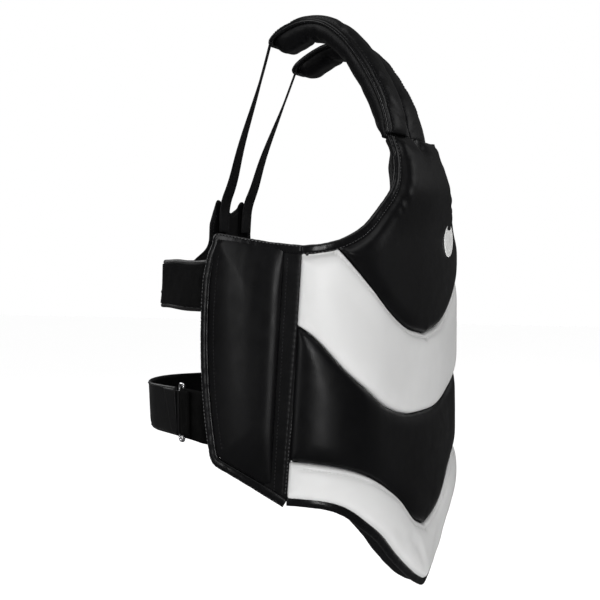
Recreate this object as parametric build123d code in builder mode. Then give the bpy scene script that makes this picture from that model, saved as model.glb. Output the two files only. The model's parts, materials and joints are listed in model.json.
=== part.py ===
from build123d import *
import os
from itertools import accumulate
from math import asin, atan2, cos, degrees, hypot, radians, sin, tan

# Trainer belly pad: a padded front, two side wings, shoulder straps, a back yoke and two back straps.
# Millimetres. The wearer faces -Y and +Z is up. X = 0 is the middle of the body, Y = 0 is the axis of the
# torso opening, and Z = 0 is just under the bottom of the armholes. "Right" is the wearer's right, at -X.

# ---------------------------------------------------------------- driving dimensions
FRONT_Y = -160.0          # seam level of the front's outer surface, on the middle line
CHEST_TURN = (900.0, -8.0)    # plan of one half from the middle line: radius and turn in degrees
CORNER_TURN = (85.0, -62.0)
SIDE_TURN = (260.0, -30.0)
FRONT_SPAN = 250.0        # plan length that takes in all of the front's half
WING_SPAN = (205.0, 352.0)    # plan lengths that take in all of a wing

PUFF = 12.0               # padded front panels, above the seam level
SHOCK_FOAM = 16.0         # hard outer foam of the front
BODY_FOAM = 14.0          # soft foam behind it
LINING = 4.0
WING_PUFF = 10.0
WING_FOAM = 11.0
WING_LINING = 4.0
BAND = 3.0                # leather of the hinge band and under the wing's cover
EDGE = 3.0                # edge binding, outward from the cut edge
JOINT_GAP = 1.0           # between pieces on both sides of a soft hinge
PANEL_SETBACK = 4.0       # front panels stop this far before the side seam

CHEST_TOP = 148.0         # seam between the chest and the shoulder straps
SEAM_TOP = (-93.0, 14.0)      # side seam in side view: Y and Z of its top
SEAM_FOOT = (-77.0, -263.0)
BAND_WIDTH = 18.0         # hinge band between the side seam and the padded wing

# Front view, as X and Z from the middle line outward.
HEM = [(0, -393), (24, -382), (56, -362), (83, -343), (112, -319), (142, -297), (178, -270), (240, -260)]
ARMHOLE = [(240, 14), (186, 14), (153, 29), (108, 64), (84, 92), (73, 120), (72, CHEST_TOP)]
UPPER_V_TOP = [(0, -86), (56, -76), (96, -58), (140, -26), (172, 12), (200, 60)]
UPPER_V_FOOT = [(0, -181), (48, -179), (90, -169), (129, -152), (165, -124), (196, -70), (240, 20)]
LOWER_V_TOP = [(0, -317), (31, -307), (87, -269), (154, -235), (240, -208)]
NECK_HALF = 9.0           # half width of the gap between the shoulder straps at the chest
NECK_DIP = 9.0            # the neck edge dips this far below the chest's top

# Wings in side view, as Y and Z.
WING_HEAD = (7.0, 27.0)       # rear end of the top edge
WING_BACK = (23.5, -102.0)    # where the rear edge stands out most
WING_HEEL = (9.0, -226.0)     # rear end of the bottom edge
WING_BELLY = (-36.0, -244.0)  # on the bottom edge
WING_CORNER = 8.0
WING_PATCH = (298.0, 333.0)   # plan lengths of the loop patches inside the right wing
ROOT_SPAN = (260.0, 283.0)    # plan lengths of the sewn strap roots on the left wing

BADGE_AT = (80.0, 27.0)       # blank round patch on the left chest, X and Z
BADGE_RADIUS = 21.0
BADGE_THICK = 1.5

# Shoulder straps in side view: Y of the base, lean in degrees, then arcs (radius, turn) and a straight end.
SHOULDER_BASE_Z = 151.0
SHOULDERS = {
    "right": (-151.0, 4.0, [(170.0, -26.0), (190.0, -22.0), (62.0, -58.0), (160.0, -12.0), (16.0, 0.0)]),
    "left": (-143.0, 5.0, [(160.0, -29.0), (140.0, -24.0), (60.0, -58.0), (160.0, -13.0), (18.0, 0.0)]),
}
SHOULDER_WIDTH = 55.0
SHOULDER_PLAN = (-190.0, 50.0)     # ends of the arc that a strap follows, seen from above
SHOULDER_X = (41.0, 60.0)     # X of a strap's middle at those ends, and half way
SHOULDER_PUFF = 10.0
SHOULDER_FOAM = 14.0
SHOULDER_LINING = 8.0
PIPING = 4.0

WEB_X = 30.0              # middle of a webbing
WEB_WIDTH = 25.0
WEB_THICK = 2.0
WEB_ROOT = 1.5            # gap between the padded end and the webbing that swings from it
WEB_BEND = 60.0
WEB_ELBOW_Z = 74.0        # the webbing turns down along the yoke here
WEB_END_Z = 38.0
PATCH = 1.6               # thickness of every hook or loop patch
PATCH_INSET = 5.0         # from a strap's long edges to its patches
WEB_PATCH_INSET = 2.0     # from the start of a webbing's straight end to its patch
TOUCH_GAP = 0.5           # between a hook patch and the loop patch that it is pressed on

YOKE_Y = 99.0             # middle of the yoke's upright part
YOKE_THICK = 3.0
YOKE_TOP = 80.0
YOKE_UPRIGHT = 50.0
YOKE_BEND = (24.0, 52.0)      # radius and turn where it leans back to the upper strap
YOKE_REACH = 110.0
YOKE_OUTLINE = [(0, 63), (17, 79), (43, 79), (62, 50), (70, -34)]     # X and Z of one half

STRAP_WIDTH = 60.0
STRAP_THICK = 3.0
TIP = (-184.6, -12.0)         # strap ends, tucked inside the right wing
RIGHT_CORNER = (-184.6, 32.0)
LEFT_CORNER = (221.6, 36.0)
ROOT = (221.6, -30.0)         # straps start here on the left wing's outer face
UPPER_APEX = (0.0, 226.0)
LOWER_APEX = (-4.0, 265.0)
UPPER_BOW = 110.0         # radius at the middle of the back
LOWER_BOW = 130.0
SIDE_BEND = 60.0          # radius where a strap leaves a wing
UPPER_MID = -27.0
LOWER_MID = -180.0
HOOK_ON_STRAP = (2.0, 25.0)   # lengths from the tip
LOOP_FIELD = (70.0, 300.0)    # loop-faced stretch round the back

RING_AT = 118.0           # length along the lower strap, from its tip, to the middle of the ring
RING_WIRE = 1.8           # radius
RING_SPAN = 12.0          # between the two upright bars
RING_HEIGHT = 68.0
RING_CORNER = 4.0
SLEEVE_GAP = 0.4
SLEEVE_WALL = 2.4
SLEEVE_HEIGHT = 52.0

HIGH = 330.0              # above everything
LOW = -430.0              # below everything
FAR = 500.0


# ---------------------------------------------------------------- paths of straight runs and tangent arcs
class Path:
    """A line in one plane, walked from its start.

    A run (length, 0) is straight, and (radius, turn) is an arc, to the left when the turn is positive.
    Lift is a distance to the left of the walk.
    """

    def __init__(self, start, heading, runs):
        self.start = start
        self.heading = radians(heading)
        self.runs = runs
        self.lengths = [size if turn == 0 else size * radians(abs(turn)) for size, turn in runs]
        self.length = sum(self.lengths)

    def at(self, s, lift=0.0):
        """Point at length s along the walk."""
        x, y = self.start
        heading = self.heading
        for (size, turn), length in zip(self.runs, self.lengths):
            part = min(s, length)
            s -= part
            if turn == 0:
                x += part * cos(heading)
                y += part * sin(heading)
            else:
                hand = 1 if turn > 0 else -1
                centre_x = x - hand * size * sin(heading)
                centre_y = y + hand * size * cos(heading)
                heading += hand * part / size
                x = centre_x + hand * size * sin(heading)
                y = centre_y - hand * size * cos(heading)
        return (x - lift * sin(heading), y + lift * cos(heading))

    def stretches(self, a, b):
        """The lengths from a to b, cut where the curvature changes, as (from, to, is straight)."""
        ends = [e for e in accumulate(self.lengths) if a + 0.01 < e < b - 0.01]
        stops = [a, *ends, b]
        for s, t in zip(stops, stops[1:]):
            middle = Vector(*self.at((s + t) / 2))
            chord = (Vector(*self.at(s)) + Vector(*self.at(t))) / 2
            yield s, t, (middle - chord).length < 1e-6


def rounded(points, radii):
    """A path along a polyline whose corners are rounded."""
    legs = [(b[0] - a[0], b[1] - a[1]) for a, b in zip(points, points[1:])]
    headings = [degrees(atan2(dy, dx)) for dx, dy in legs]
    runs = []
    used = 0.0
    for index, radius in enumerate(radii):
        turn = (headings[index + 1] - headings[index] + 180.0) % 360.0 - 180.0
        reach = radius * tan(radians(abs(turn)) / 2)
        runs.append((hypot(*legs[index]) - used - reach, 0.0))
        runs.append((radius, turn))
        used = reach
    runs.append((hypot(*legs[-1]) - used, 0.0))
    return Path(points[0], headings[0], runs)


def walk_line(path, a, b, lift, flip=1):
    """Draws a path from length a to b in the current BuildLine; flip -1 mirrors it in X."""
    def place(s):
        x, y = path.at(s, lift)
        return (flip * x, y)

    for s, t, straight in path.stretches(a, b):
        if straight:
            Line(place(s), place(t))
        else:
            ThreePointArc(place(s), place((s + t) / 2), place(t))
    return place(a), place(b)


def band(path, a, b, low, high, flip=1):
    """The face between two lifts of a path."""
    with BuildSketch() as shape:
        with BuildLine():
            inner = walk_line(path, a, b, low, flip)
            outer = walk_line(path, a, b, high, flip)
            Line(inner[0], outer[0])
            Line(inner[1], outer[1])
        make_face()
    return shape.sketch


SIDES = {"right": -1, "left": 1}
PLAN = Path((0.0, FRONT_Y), 180.0, [CHEST_TURN, CORNER_TURN, SIDE_TURN])


# ---------------------------------------------------------------- outlines in front and side view
def both_halves(points):
    """The run of points from the left end through the middle to the right end."""
    return [(-x, z) for x, z in reversed(points)] + [(x, z) for x, z in points if x > 0]


def shifted(points, amount):
    """The run of points moved to its left."""
    moved = []
    for index, (x, z) in enumerate(points):
        before = points[max(index - 1, 0)]
        after = points[min(index + 1, len(points) - 1)]
        run = hypot(after[0] - before[0], after[1] - before[1])
        moved.append((x - amount * (after[1] - before[1]) / run, z + amount * (after[0] - before[0]) / run))
    return moved


def neck_points():
    """The neck edge between the shoulder straps."""
    return both_halves([(0, CHEST_TOP - NECK_DIP), (NECK_HALF, CHEST_TOP)])


def front_face():
    """The whole front in front view."""
    with BuildSketch() as shape:
        with BuildLine():
            Spline(*both_halves(HEM))
            for side in SIDES.values():
                edge = [(side * x, z) for x, z in ARMHOLE]
                Spline(*edge)
                Line((side * HEM[-1][0], HEM[-1][1]), edge[0])
                Line(edge[-1], (side * NECK_HALF, CHEST_TOP))
            Spline(*neck_points())
        make_face()
    return shape.sketch


def above(points):
    """Everything above a curve, in front view."""
    run = both_halves(points)
    with BuildSketch() as shape:
        with BuildLine():
            Spline(*run)
            Polyline(run[0], (run[0][0], HIGH), (run[-1][0], HIGH), run[-1])
        make_face()
    return shape.sketch


def edge_strip(points, amount):
    """A strip along the left of a run of points."""
    outer = shifted(points, amount)
    with BuildSketch() as shape:
        with BuildLine():
            Spline(*points)
            Spline(*outer)
            Line(points[0], outer[0])
            Line(points[-1], outer[-1])
        make_face()
    return shape.sketch


def seam_y(z):
    """Y of the side seam at height z."""
    share = (z - SEAM_FOOT[1]) / (SEAM_TOP[1] - SEAM_FOOT[1])
    return SEAM_FOOT[0] + share * (SEAM_TOP[0] - SEAM_FOOT[0])


def beside_seam(low, high):
    """Side view of what lies between two distances behind the side seam."""
    foot = seam_y(LOW)
    head = seam_y(HIGH)
    with BuildSketch() as shape:
        with BuildLine():
            corners = [(foot + low, LOW), (foot + high, LOW), (head + high, HIGH), (head + low, HIGH)]
            Polyline(*corners, close=True)
        make_face()
    return shape.sketch


def wing_face(grow=0.0):
    """A wing in side view, or the same outline grown outward."""
    with BuildSketch() as outline:
        with BuildLine():
            Line(SEAM_TOP, WING_HEAD)
            ThreePointArc(WING_HEAD, WING_BACK, WING_HEEL)
            ThreePointArc(WING_HEEL, WING_BELLY, SEAM_FOOT)
            Line(SEAM_FOOT, SEAM_TOP)
        make_face()
        fillet(outline.vertices().sort_by(Axis.X)[-2:], WING_CORNER)
        if grow:
            offset(amount=grow)
    return outline.sketch


def write(builder, label):
    """Names a piece and writes it."""
    builder.part.label = label
    export_step(builder.part, f"parts/{label}.step")


os.makedirs("parts", exist_ok=True)

# ---------------------------------------------------------------- front: foam and lining
SHOCK_LEVEL = -SHOCK_FOAM
BODY_LEVEL = SHOCK_LEVEL - BODY_FOAM
INNER_LEVEL = BODY_LEVEL - LINING
LAYERS = {
    "front_shock_foam": (SHOCK_LEVEL, 0.0),
    "front_body_foam": (BODY_LEVEL, SHOCK_LEVEL),
    "front_lining": (INNER_LEVEL, BODY_LEVEL),
}
for name, (low, high) in LAYERS.items():
    with BuildPart() as layer:
        with BuildSketch(Plane.XY.offset(LOW)):
            for side in SIDES.values():
                add(band(PLAN, 0.0, FRONT_SPAN, low, high, -side))
        extrude(amount=HIGH - LOW)
        with BuildSketch(Plane.XZ):
            add(front_face())
        extrude(amount=FAR, both=True, mode=Mode.INTERSECT)
        with BuildSketch(Plane.YZ):
            add(beside_seam(-FAR, -JOINT_GAP))
        extrude(amount=FAR, both=True, mode=Mode.INTERSECT)
    write(layer, name)

# ---------------------------------------------------------------- front: four padded panels and the badge
PANELS = {
    "chest_panel": (None, UPPER_V_TOP),
    "upper_chevron": (UPPER_V_TOP, UPPER_V_FOOT),
    "belly_panel": (UPPER_V_FOOT, LOWER_V_TOP),
    "lower_chevron": (LOWER_V_TOP, None),
}
for name, (upper, lower) in PANELS.items():
    with BuildPart() as panel:
        with BuildSketch(Plane.XY.offset(LOW)):
            for side in SIDES.values():
                add(band(PLAN, 0.0, FRONT_SPAN, 0.0, PUFF, -side))
        extrude(amount=HIGH - LOW)
        with BuildSketch(Plane.XZ):
            add(front_face())
        extrude(amount=FAR, both=True, mode=Mode.INTERSECT)
        with BuildSketch(Plane.YZ):
            add(beside_seam(-FAR, -PANEL_SETBACK))
        extrude(amount=FAR, both=True, mode=Mode.INTERSECT)
        if lower:
            with BuildSketch(Plane.XZ):
                add(above(lower))
            extrude(amount=FAR, both=True, mode=Mode.INTERSECT)
        if upper:
            with BuildSketch(Plane.XZ):
                add(above(upper))
            extrude(amount=FAR, both=True, mode=Mode.SUBTRACT)
    write(panel, name)

with BuildPart() as badge:
    with BuildSketch(Plane.XY.offset(LOW)):
        add(band(PLAN, 0.0, FRONT_SPAN, PUFF, PUFF + BADGE_THICK, -1))
    extrude(amount=HIGH - LOW)
    with BuildSketch(Plane.XZ):
        with Locations(BADGE_AT):
            Circle(BADGE_RADIUS)
    extrude(amount=FAR, mode=Mode.INTERSECT)
write(badge, "chest_badge")

# ---------------------------------------------------------------- front: edge bindings
BINDINGS = {
    "hem_binding": (both_halves(HEM), -EDGE),
    "right_armhole_binding": ([(-x, z) for x, z in ARMHOLE], EDGE),
    "left_armhole_binding": (ARMHOLE, -EDGE),
    "neck_binding": (neck_points(), EDGE),
}
for name, (points, amount) in BINDINGS.items():
    with BuildPart() as binding:
        with BuildSketch(Plane.XY.offset(LOW)):
            for side in SIDES.values():
                add(band(PLAN, 0.0, FRONT_SPAN, INNER_LEVEL, 0.0, -side))
        extrude(amount=HIGH - LOW)
        with BuildSketch(Plane.XZ):
            add(edge_strip(points, amount))
        extrude(amount=FAR, both=True, mode=Mode.INTERSECT)
        with BuildSketch(Plane.YZ):
            add(beside_seam(-FAR, -JOINT_GAP))
        extrude(amount=FAR, both=True, mode=Mode.INTERSECT)
    write(binding, name)

# ---------------------------------------------------------------- wings
FOAM_TOP = -BAND
FOAM_FOOT = FOAM_TOP - WING_FOAM
WING_INNER = FOAM_FOOT - WING_LINING
WING_LAYERS = {
    "hinge_band": (FOAM_TOP, 0.0, 0.0, BAND_WIDTH),
    "wing_cover": (FOAM_TOP, WING_PUFF, BAND_WIDTH, FAR),
    "wing_foam": (FOAM_FOOT, FOAM_TOP, 0.0, FAR),
    "wing_lining": (WING_INNER, FOAM_FOOT, 0.0, FAR),
}
for hand, side in SIDES.items():
    for name, (low, high, near, far) in WING_LAYERS.items():
        with BuildPart() as layer:
            with BuildSketch(Plane.XY.offset(LOW)):
                add(band(PLAN, *WING_SPAN, low, high, -side))
            extrude(amount=HIGH - LOW)
            with BuildSketch(Plane.YZ):
                add(wing_face())
                add(beside_seam(near, far), mode=Mode.INTERSECT)
            extrude(amount=FAR, both=True, mode=Mode.INTERSECT)
        write(layer, f"{hand}_{name}")

    with BuildPart() as wing_binding:
        with BuildSketch(Plane.XY.offset(LOW)):
            add(band(PLAN, *WING_SPAN, WING_INNER, 0.0, -side))
        extrude(amount=HIGH - LOW)
        with BuildSketch(Plane.YZ):
            add(wing_face(EDGE))
            add(wing_face(), mode=Mode.SUBTRACT)
            add(beside_seam(0.0, FAR), mode=Mode.INTERSECT)
        extrude(amount=FAR, both=True, mode=Mode.INTERSECT)
    write(wing_binding, f"{hand}_wing_binding")

# ---------------------------------------------------------------- shoulder straps and their webbing
SHOULDER_LAYERS = {
    "shoulder_cover": (0.0, SHOULDER_PUFF),
    "shoulder_foam": (-SHOULDER_FOAM, 0.0),
    "shoulder_lining": (-SHOULDER_FOAM - SHOULDER_LINING, -SHOULDER_FOAM),
}
WEB_BACK = YOKE_Y - YOKE_THICK / 2 - PATCH - TOUCH_GAP - PATCH     # rear face of the webbing on the yoke
HALF_RUN = (SHOULDER_PLAN[1] - SHOULDER_PLAN[0]) / 2
BOW = SHOULDER_X[1] - SHOULDER_X[0]
BOW_RADIUS = (HALF_RUN**2 + BOW**2) / (2 * BOW)
BOW_ANGLE = degrees(asin(HALF_RUN / BOW_RADIUS))
SHOULDER_BOW = Path((SHOULDER_X[0], SHOULDER_PLAN[0]), 90.0 - BOW_ANGLE, [(BOW_RADIUS, 2 * BOW_ANGLE)])
HALF_SHOULDER = SHOULDER_WIDTH / 2
for hand, side in SIDES.items():
    base_y, lean, runs = SHOULDERS[hand]
    strap = Path((base_y, SHOULDER_BASE_Z), 90.0 - lean, runs)
    for name, (low, high) in SHOULDER_LAYERS.items():
        with BuildPart() as layer:
            with BuildSketch(Plane.YZ):
                add(band(strap, 0.0, strap.length, low, high))
            extrude(amount=FAR, both=True)
            with BuildSketch(Plane.XY):
                add(band(SHOULDER_BOW, 0.0, SHOULDER_BOW.length, -HALF_SHOULDER, HALF_SHOULDER, side))
            extrude(amount=FAR, mode=Mode.INTERSECT)
        write(layer, f"{hand}_{name}")

    with BuildPart() as piping:
        with BuildSketch(Plane.YZ):
            add(band(strap, 0.0, strap.length, -PIPING / 2, PIPING / 2))
        extrude(amount=FAR, both=True)
        with BuildSketch(Plane.XY):
            for inner in (-HALF_SHOULDER - PIPING, HALF_SHOULDER):
                add(band(SHOULDER_BOW, 0.0, SHOULDER_BOW.length, inner, inner + PIPING, side))
        extrude(amount=FAR, mode=Mode.INTERSECT)
    write(piping, f"{hand}_shoulder_piping")

    web_y = WEB_BACK - WEB_THICK / 2
    root = strap.at(strap.length)
    heading = Vector(web_y - root[0], WEB_ELBOW_Z - root[1]).normalized() * WEB_ROOT
    web_start = (root[0] + heading.X, root[1] + heading.Y)
    web = rounded([web_start, (web_y, WEB_ELBOW_Z), (web_y, WEB_END_Z)], [WEB_BEND])
    web_x = side * WEB_X - WEB_WIDTH / 2
    with BuildPart() as webbing:
        with BuildSketch(Plane.YZ.offset(web_x)):
            add(band(web, 0.0, web.length, -WEB_THICK / 2, WEB_THICK / 2))
        extrude(amount=WEB_WIDTH)
    write(webbing, f"{hand}_webbing")

    patch_length = web.lengths[-1] - WEB_PATCH_INSET
    with BuildPart() as hook:
        with BuildSketch(Plane.YZ.offset(web_x)):
            add(band(web, web.length - patch_length, web.length, WEB_THICK / 2, WEB_THICK / 2 + PATCH))
        extrude(amount=WEB_WIDTH)
    write(hook, f"{hand}_webbing_hook_patch")
    print(hand, "webbing swings at Y Z", [round(v, 2) for v in root])

# ---------------------------------------------------------------- back straps
UPPER = rounded([TIP, RIGHT_CORNER, UPPER_APEX, LEFT_CORNER, ROOT], [SIDE_BEND, UPPER_BOW, SIDE_BEND])
LOWER = rounded([TIP, RIGHT_CORNER, LOWER_APEX, LEFT_CORNER, ROOT], [SIDE_BEND, LOWER_BOW, SIDE_BEND])
HALF = STRAP_THICK / 2


def strap_piece(path, a, b, low, high, middle, width, label):
    """Writes one layer of a back strap, standing on its edge."""
    with BuildPart() as piece:
        with BuildSketch(Plane.XY.offset(middle - width / 2)):
            add(band(path, a, b, low, high))
        extrude(amount=width)
    write(piece, label)


PATCH_WIDTH = STRAP_WIDTH - 2 * PATCH_INSET
strap_piece(UPPER, 0.0, UPPER.length, -HALF, HALF, UPPER_MID, STRAP_WIDTH, "upper_strap")
strap_piece(UPPER, *HOOK_ON_STRAP, HALF, HALF + PATCH, UPPER_MID, PATCH_WIDTH, "upper_strap_hook_patch")
strap_piece(UPPER, *LOOP_FIELD, HALF, HALF + PATCH, UPPER_MID, PATCH_WIDTH, "upper_strap_loop_field")
strap_piece(LOWER, *HOOK_ON_STRAP, HALF, HALF + PATCH, LOWER_MID, PATCH_WIDTH, "lower_tab_hook_patch")

# The belt and the tab each end in a sleeve round one upright bar of the ring.
TAB_BAR = RING_AT - RING_SPAN / 2
BELT_BAR = RING_AT + RING_SPAN / 2
SLEEVE_BORE = RING_WIRE + SLEEVE_GAP
SLEEVE_OUTER = SLEEVE_BORE + SLEEVE_WALL
LEATHERS = {
    "lower_tab": (0.0, TAB_BAR - SLEEVE_BORE - SLEEVE_WALL / 2, TAB_BAR),
    "lower_belt": (BELT_BAR + SLEEVE_BORE + SLEEVE_WALL / 2, LOWER.length, BELT_BAR),
}
for name, (a, b, bar) in LEATHERS.items():
    with BuildPart() as leather:
        with BuildSketch(Plane.XY.offset(LOWER_MID - STRAP_WIDTH / 2)):
            add(band(LOWER, a, b, -HALF, HALF))
        extrude(amount=STRAP_WIDTH)
        with BuildSketch(Plane.XY.offset(LOWER_MID - SLEEVE_HEIGHT / 2)):
            with Locations(LOWER.at(bar)):
                Circle(SLEEVE_OUTER)
        extrude(amount=SLEEVE_HEIGHT)
        with BuildSketch(Plane.XY.offset(LOWER_MID - STRAP_WIDTH / 2)):
            with Locations(LOWER.at(bar)):
                Circle(SLEEVE_BORE)
        extrude(amount=STRAP_WIDTH, mode=Mode.SUBTRACT)
    write(leather, name)

ring_x, ring_y = LOWER.at(RING_AT)
bar_run = Vector(*LOWER.at(BELT_BAR)) - Vector(*LOWER.at(TAB_BAR))
across = bar_run.normalized()
ring_plane = Plane(
    origin=(ring_x, ring_y, LOWER_MID),
    x_dir=(across.X, across.Y, 0),
    z_dir=(across.Y, -across.X, 0),
)
with BuildSketch(ring_plane) as loop:
    RectangleRounded(bar_run.length, RING_HEIGHT, RING_CORNER)
loop_wire = loop.sketch.face().outer_wire()
with BuildPart() as ring:
    with BuildSketch(Plane(origin=loop_wire @ 0, z_dir=loop_wire % 0)):
        Circle(RING_WIRE)
    sweep(path=loop_wire)
write(ring, "belt_ring")
print("ring bars", [round(v, 2) for v in (*LOWER.at(BELT_BAR), *LOWER.at(TAB_BAR))])

# Loop patches inside the right wing, and the sewn strap roots on the left wing.
STRAP_LEVELS = {"upper": UPPER_MID, "lower": LOWER_MID}
for level, middle in STRAP_LEVELS.items():
    with BuildPart() as loop_patch:
        with BuildSketch(Plane.XY.offset(middle - PATCH_WIDTH / 2)):
            add(band(PLAN, *WING_PATCH, WING_INNER - PATCH, WING_INNER, 1))
        extrude(amount=PATCH_WIDTH)
    write(loop_patch, f"right_wing_{level}_loop_patch")

    with BuildPart() as anchor:
        with BuildSketch(Plane.XY.offset(middle - STRAP_WIDTH / 2)):
            add(band(PLAN, *ROOT_SPAN, WING_PUFF, WING_PUFF + STRAP_THICK, -1))
        extrude(amount=STRAP_WIDTH)
    write(anchor, f"{level}_strap_root")

# ---------------------------------------------------------------- back yoke
YOKE = Path((YOKE_Y, YOKE_TOP), -90.0, [(YOKE_UPRIGHT, 0.0), YOKE_BEND, (YOKE_REACH, 0.0)])
with BuildPart() as yoke:
    with BuildSketch(Plane.YZ):
        add(band(YOKE, 0.0, YOKE.length, -YOKE_THICK / 2, YOKE_THICK / 2))
    extrude(amount=FAR, both=True)
    with BuildSketch(Plane.XZ):
        with BuildLine():
            Polyline(*both_halves(YOKE_OUTLINE), close=True)
        make_face()
    extrude(amount=FAR, both=True, mode=Mode.INTERSECT)
    with BuildSketch(Plane.XY.offset(LOW)):
        with BuildLine():
            inner_ends = walk_line(UPPER, 0.0, UPPER.length, -HALF)
            Line(*inner_ends)
        make_face()
    extrude(amount=HIGH - LOW, mode=Mode.INTERSECT)
write(yoke, "back_yoke")

for hand, side in SIDES.items():
    with BuildPart() as yoke_loop:
        with BuildSketch(Plane.YZ.offset(side * WEB_X - WEB_WIDTH / 2)):
            add(band(YOKE, YOKE_TOP - WEB_ELBOW_Z, YOKE_UPRIGHT, -YOKE_THICK / 2 - PATCH, -YOKE_THICK / 2))
        extrude(amount=WEB_WIDTH)
    write(yoke_loop, f"{hand}_yoke_loop_patch")
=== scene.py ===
import json
import math

import bpy
import numpy as np
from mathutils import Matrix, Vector, noise
from mathutils.bvhtree import BVHTree
from mathutils.geometry import delaunay_2d_cdt


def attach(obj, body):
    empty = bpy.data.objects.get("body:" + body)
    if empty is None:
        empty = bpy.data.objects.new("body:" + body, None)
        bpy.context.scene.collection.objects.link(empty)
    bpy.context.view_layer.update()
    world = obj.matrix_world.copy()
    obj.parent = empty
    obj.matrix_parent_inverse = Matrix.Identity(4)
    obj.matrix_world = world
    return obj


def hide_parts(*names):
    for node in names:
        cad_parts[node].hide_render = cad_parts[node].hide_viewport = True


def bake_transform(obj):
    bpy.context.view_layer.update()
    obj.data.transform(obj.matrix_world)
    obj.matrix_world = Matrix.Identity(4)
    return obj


# Trainer belly pad, in metres, in the CAD frame: the wearer faces -Y, and the wearer's right is at -X.
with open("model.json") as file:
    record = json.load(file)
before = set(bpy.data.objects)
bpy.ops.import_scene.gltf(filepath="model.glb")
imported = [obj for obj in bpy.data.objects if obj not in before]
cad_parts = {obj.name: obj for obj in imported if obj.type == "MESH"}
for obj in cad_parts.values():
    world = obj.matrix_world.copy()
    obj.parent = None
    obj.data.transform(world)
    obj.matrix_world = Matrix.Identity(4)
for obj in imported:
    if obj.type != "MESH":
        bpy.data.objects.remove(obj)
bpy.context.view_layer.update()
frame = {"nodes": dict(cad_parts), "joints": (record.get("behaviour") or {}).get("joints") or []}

# ---------------------------------------------------------------- sizes shared with the CAD
PLAN_RUNS = [(0.900, -8.0), (0.085, -62.0), (0.260, -30.0)]
FRONT_Y = -0.160
CHEST_TOP = 0.148
SEAM_TOP = (-0.093, 0.014)
SEAM_FOOT = (-0.077, -0.263)
BAND_WIDTH = 0.018
HEM = [(0, -0.393), (0.024, -0.382), (0.056, -0.362), (0.083, -0.343), (0.112, -0.320), (0.142, -0.300),
       (0.178, -0.2735), (0.240, -0.2615)]
ARMHOLE = [(0.240, 0.014), (0.186, 0.014), (0.153, 0.029), (0.108, 0.064), (0.084, 0.092), (0.073, 0.120),
           (0.072, CHEST_TOP)]
UPPER_V_TOP = [(0, -0.086), (0.056, -0.076), (0.096, -0.058), (0.140, -0.026), (0.172, 0.012), (0.200, 0.060)]
UPPER_V_FOOT = [(0, -0.181), (0.048, -0.179), (0.090, -0.169), (0.129, -0.152), (0.165, -0.124),
                (0.196, -0.070), (0.240, 0.020)]
LOWER_V_TOP = [(0, -0.317), (0.031, -0.307), (0.087, -0.269), (0.154, -0.235), (0.240, -0.208)]
NECK = [(0, 0.139), (0.009, CHEST_TOP)]
WING_HEAD = (0.007, 0.031)
WING_BACK = (0.0175, -0.102)
WING_HEEL = (0.005, -0.221)
WING_BELLY = (-0.036, -0.240)
BADGE_AT = (0.080, 0.027)
BADGE_RADIUS = 0.021
PUFF = 0.012
INNER = -0.034
WING_PUFF = 0.010
WING_INNER = -0.018

SHOULDERS = {
    "right": (-0.151, 4.0, [(0.170, -26.0), (0.190, -22.0), (0.062, -58.0), (0.160, -12.0), (0.016, 0.0)]),
    "left": (-0.143, 5.0, [(0.160, -29.0), (0.140, -24.0), (0.060, -58.0), (0.160, -13.0), (0.018, 0.0)]),
}
SHOULDER_BASE = 0.151
SHOULDER_WIDTH = 0.055
SHOULDER_PLAN = (-0.190, 0.050)
SHOULDER_X = (0.041, 0.060)
SHOULDER_PUFF = 0.010
SHOULDER_INNER = -0.022
STRAP_SHORT = {"right": 0.0125, "left": 0.0085}     # how much shorter a strap is than its runs

WEB_X = 0.030
WEB_WIDTH = 0.025
WEB_THICK = 0.002
WEB_Y = 0.0928
WEB_ELBOW = 0.074
WEB_END = 0.038
WEB_BEND = 0.060
PATCH = 0.0016

YOKE_Y = 0.099
YOKE_TOP = 0.080
YOKE_RUNS = [(0.050, 0.0), (0.024, 52.0), (0.110, 0.0)]
YOKE_OUTLINE = [(0, 0.063), (0.018, 0.070), (0.028, 0.079), (0.036, 0.079), (0.046, 0.064), (0.055, 0.048),
                (0.058, -0.034)]

STRAP_WIDTH = 0.060
STRAP_THICK = 0.003
TIP = (-0.1846, -0.012)
RIGHT_CORNER = (-0.1846, 0.032)
LEFT_CORNER = (0.2216, 0.036)
ROOT = (0.2216, -0.030)
UPPER_APEX = (0.0, 0.226)
LOWER_APEX = (-0.004, 0.265)
UPPER_MID = -0.027
LOWER_MID = -0.180
SIDE_BEND = 0.060
UPPER_BOW = 0.110
LOWER_BOW = 0.130
TAB_BAR = 0.112
BELT_BAR = 0.124
SLEEVE_BORE = 0.0022
SLEEVE_OUTER = 0.0046
SLEEVE_HEIGHT = 0.052
HOOK_ON_STRAP = (0.002, 0.025)
LOOP_FIELD = (0.030, 0.300)
WING_PATCH = (0.298, 0.333)
ROOT_SPAN = (0.260, 0.283)

SIDES = {"right": -1, "left": 1}
STEP = 0.004              # between points along an outline
FINE_STEP = 0.0025        # between points along edge tape and stitching
SPACING = 0.005           # between points over a pad
SOFT_SPACING = 0.0065     # between points over a lining
TAPE = 0.0068             # how far edge tape reaches over a panel
EDGE_THICK = 0.0066
EDGE_LIFT = -0.0004
CHEVRON_STITCH = 0.0062
YOKE_THICK = 0.003
STITCH_PITCH = 0.0042
STITCH_LENGTH = 0.0028
THREAD_RADIUS = 0.00045
RAY_START = 0.05          # how far off a surface a ray starts
TINY = 1e-4               # a small distance, for directions and for lines just off a surface
FOAM_SPACING = 0.012      # between points over foam
FOAM_RINGS = (0.004,)
STRAP_WAVE = 0.0016       # how far a worn strap strays from flat
SLEEVE_AROUND = 28
SLEEVE_ROWS = 36
STITCH_AROUND = 6
CLOTH_FRAMES = 16
CLOTH_HOLD = 0.5          # how firmly the filling holds the moving points


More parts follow.
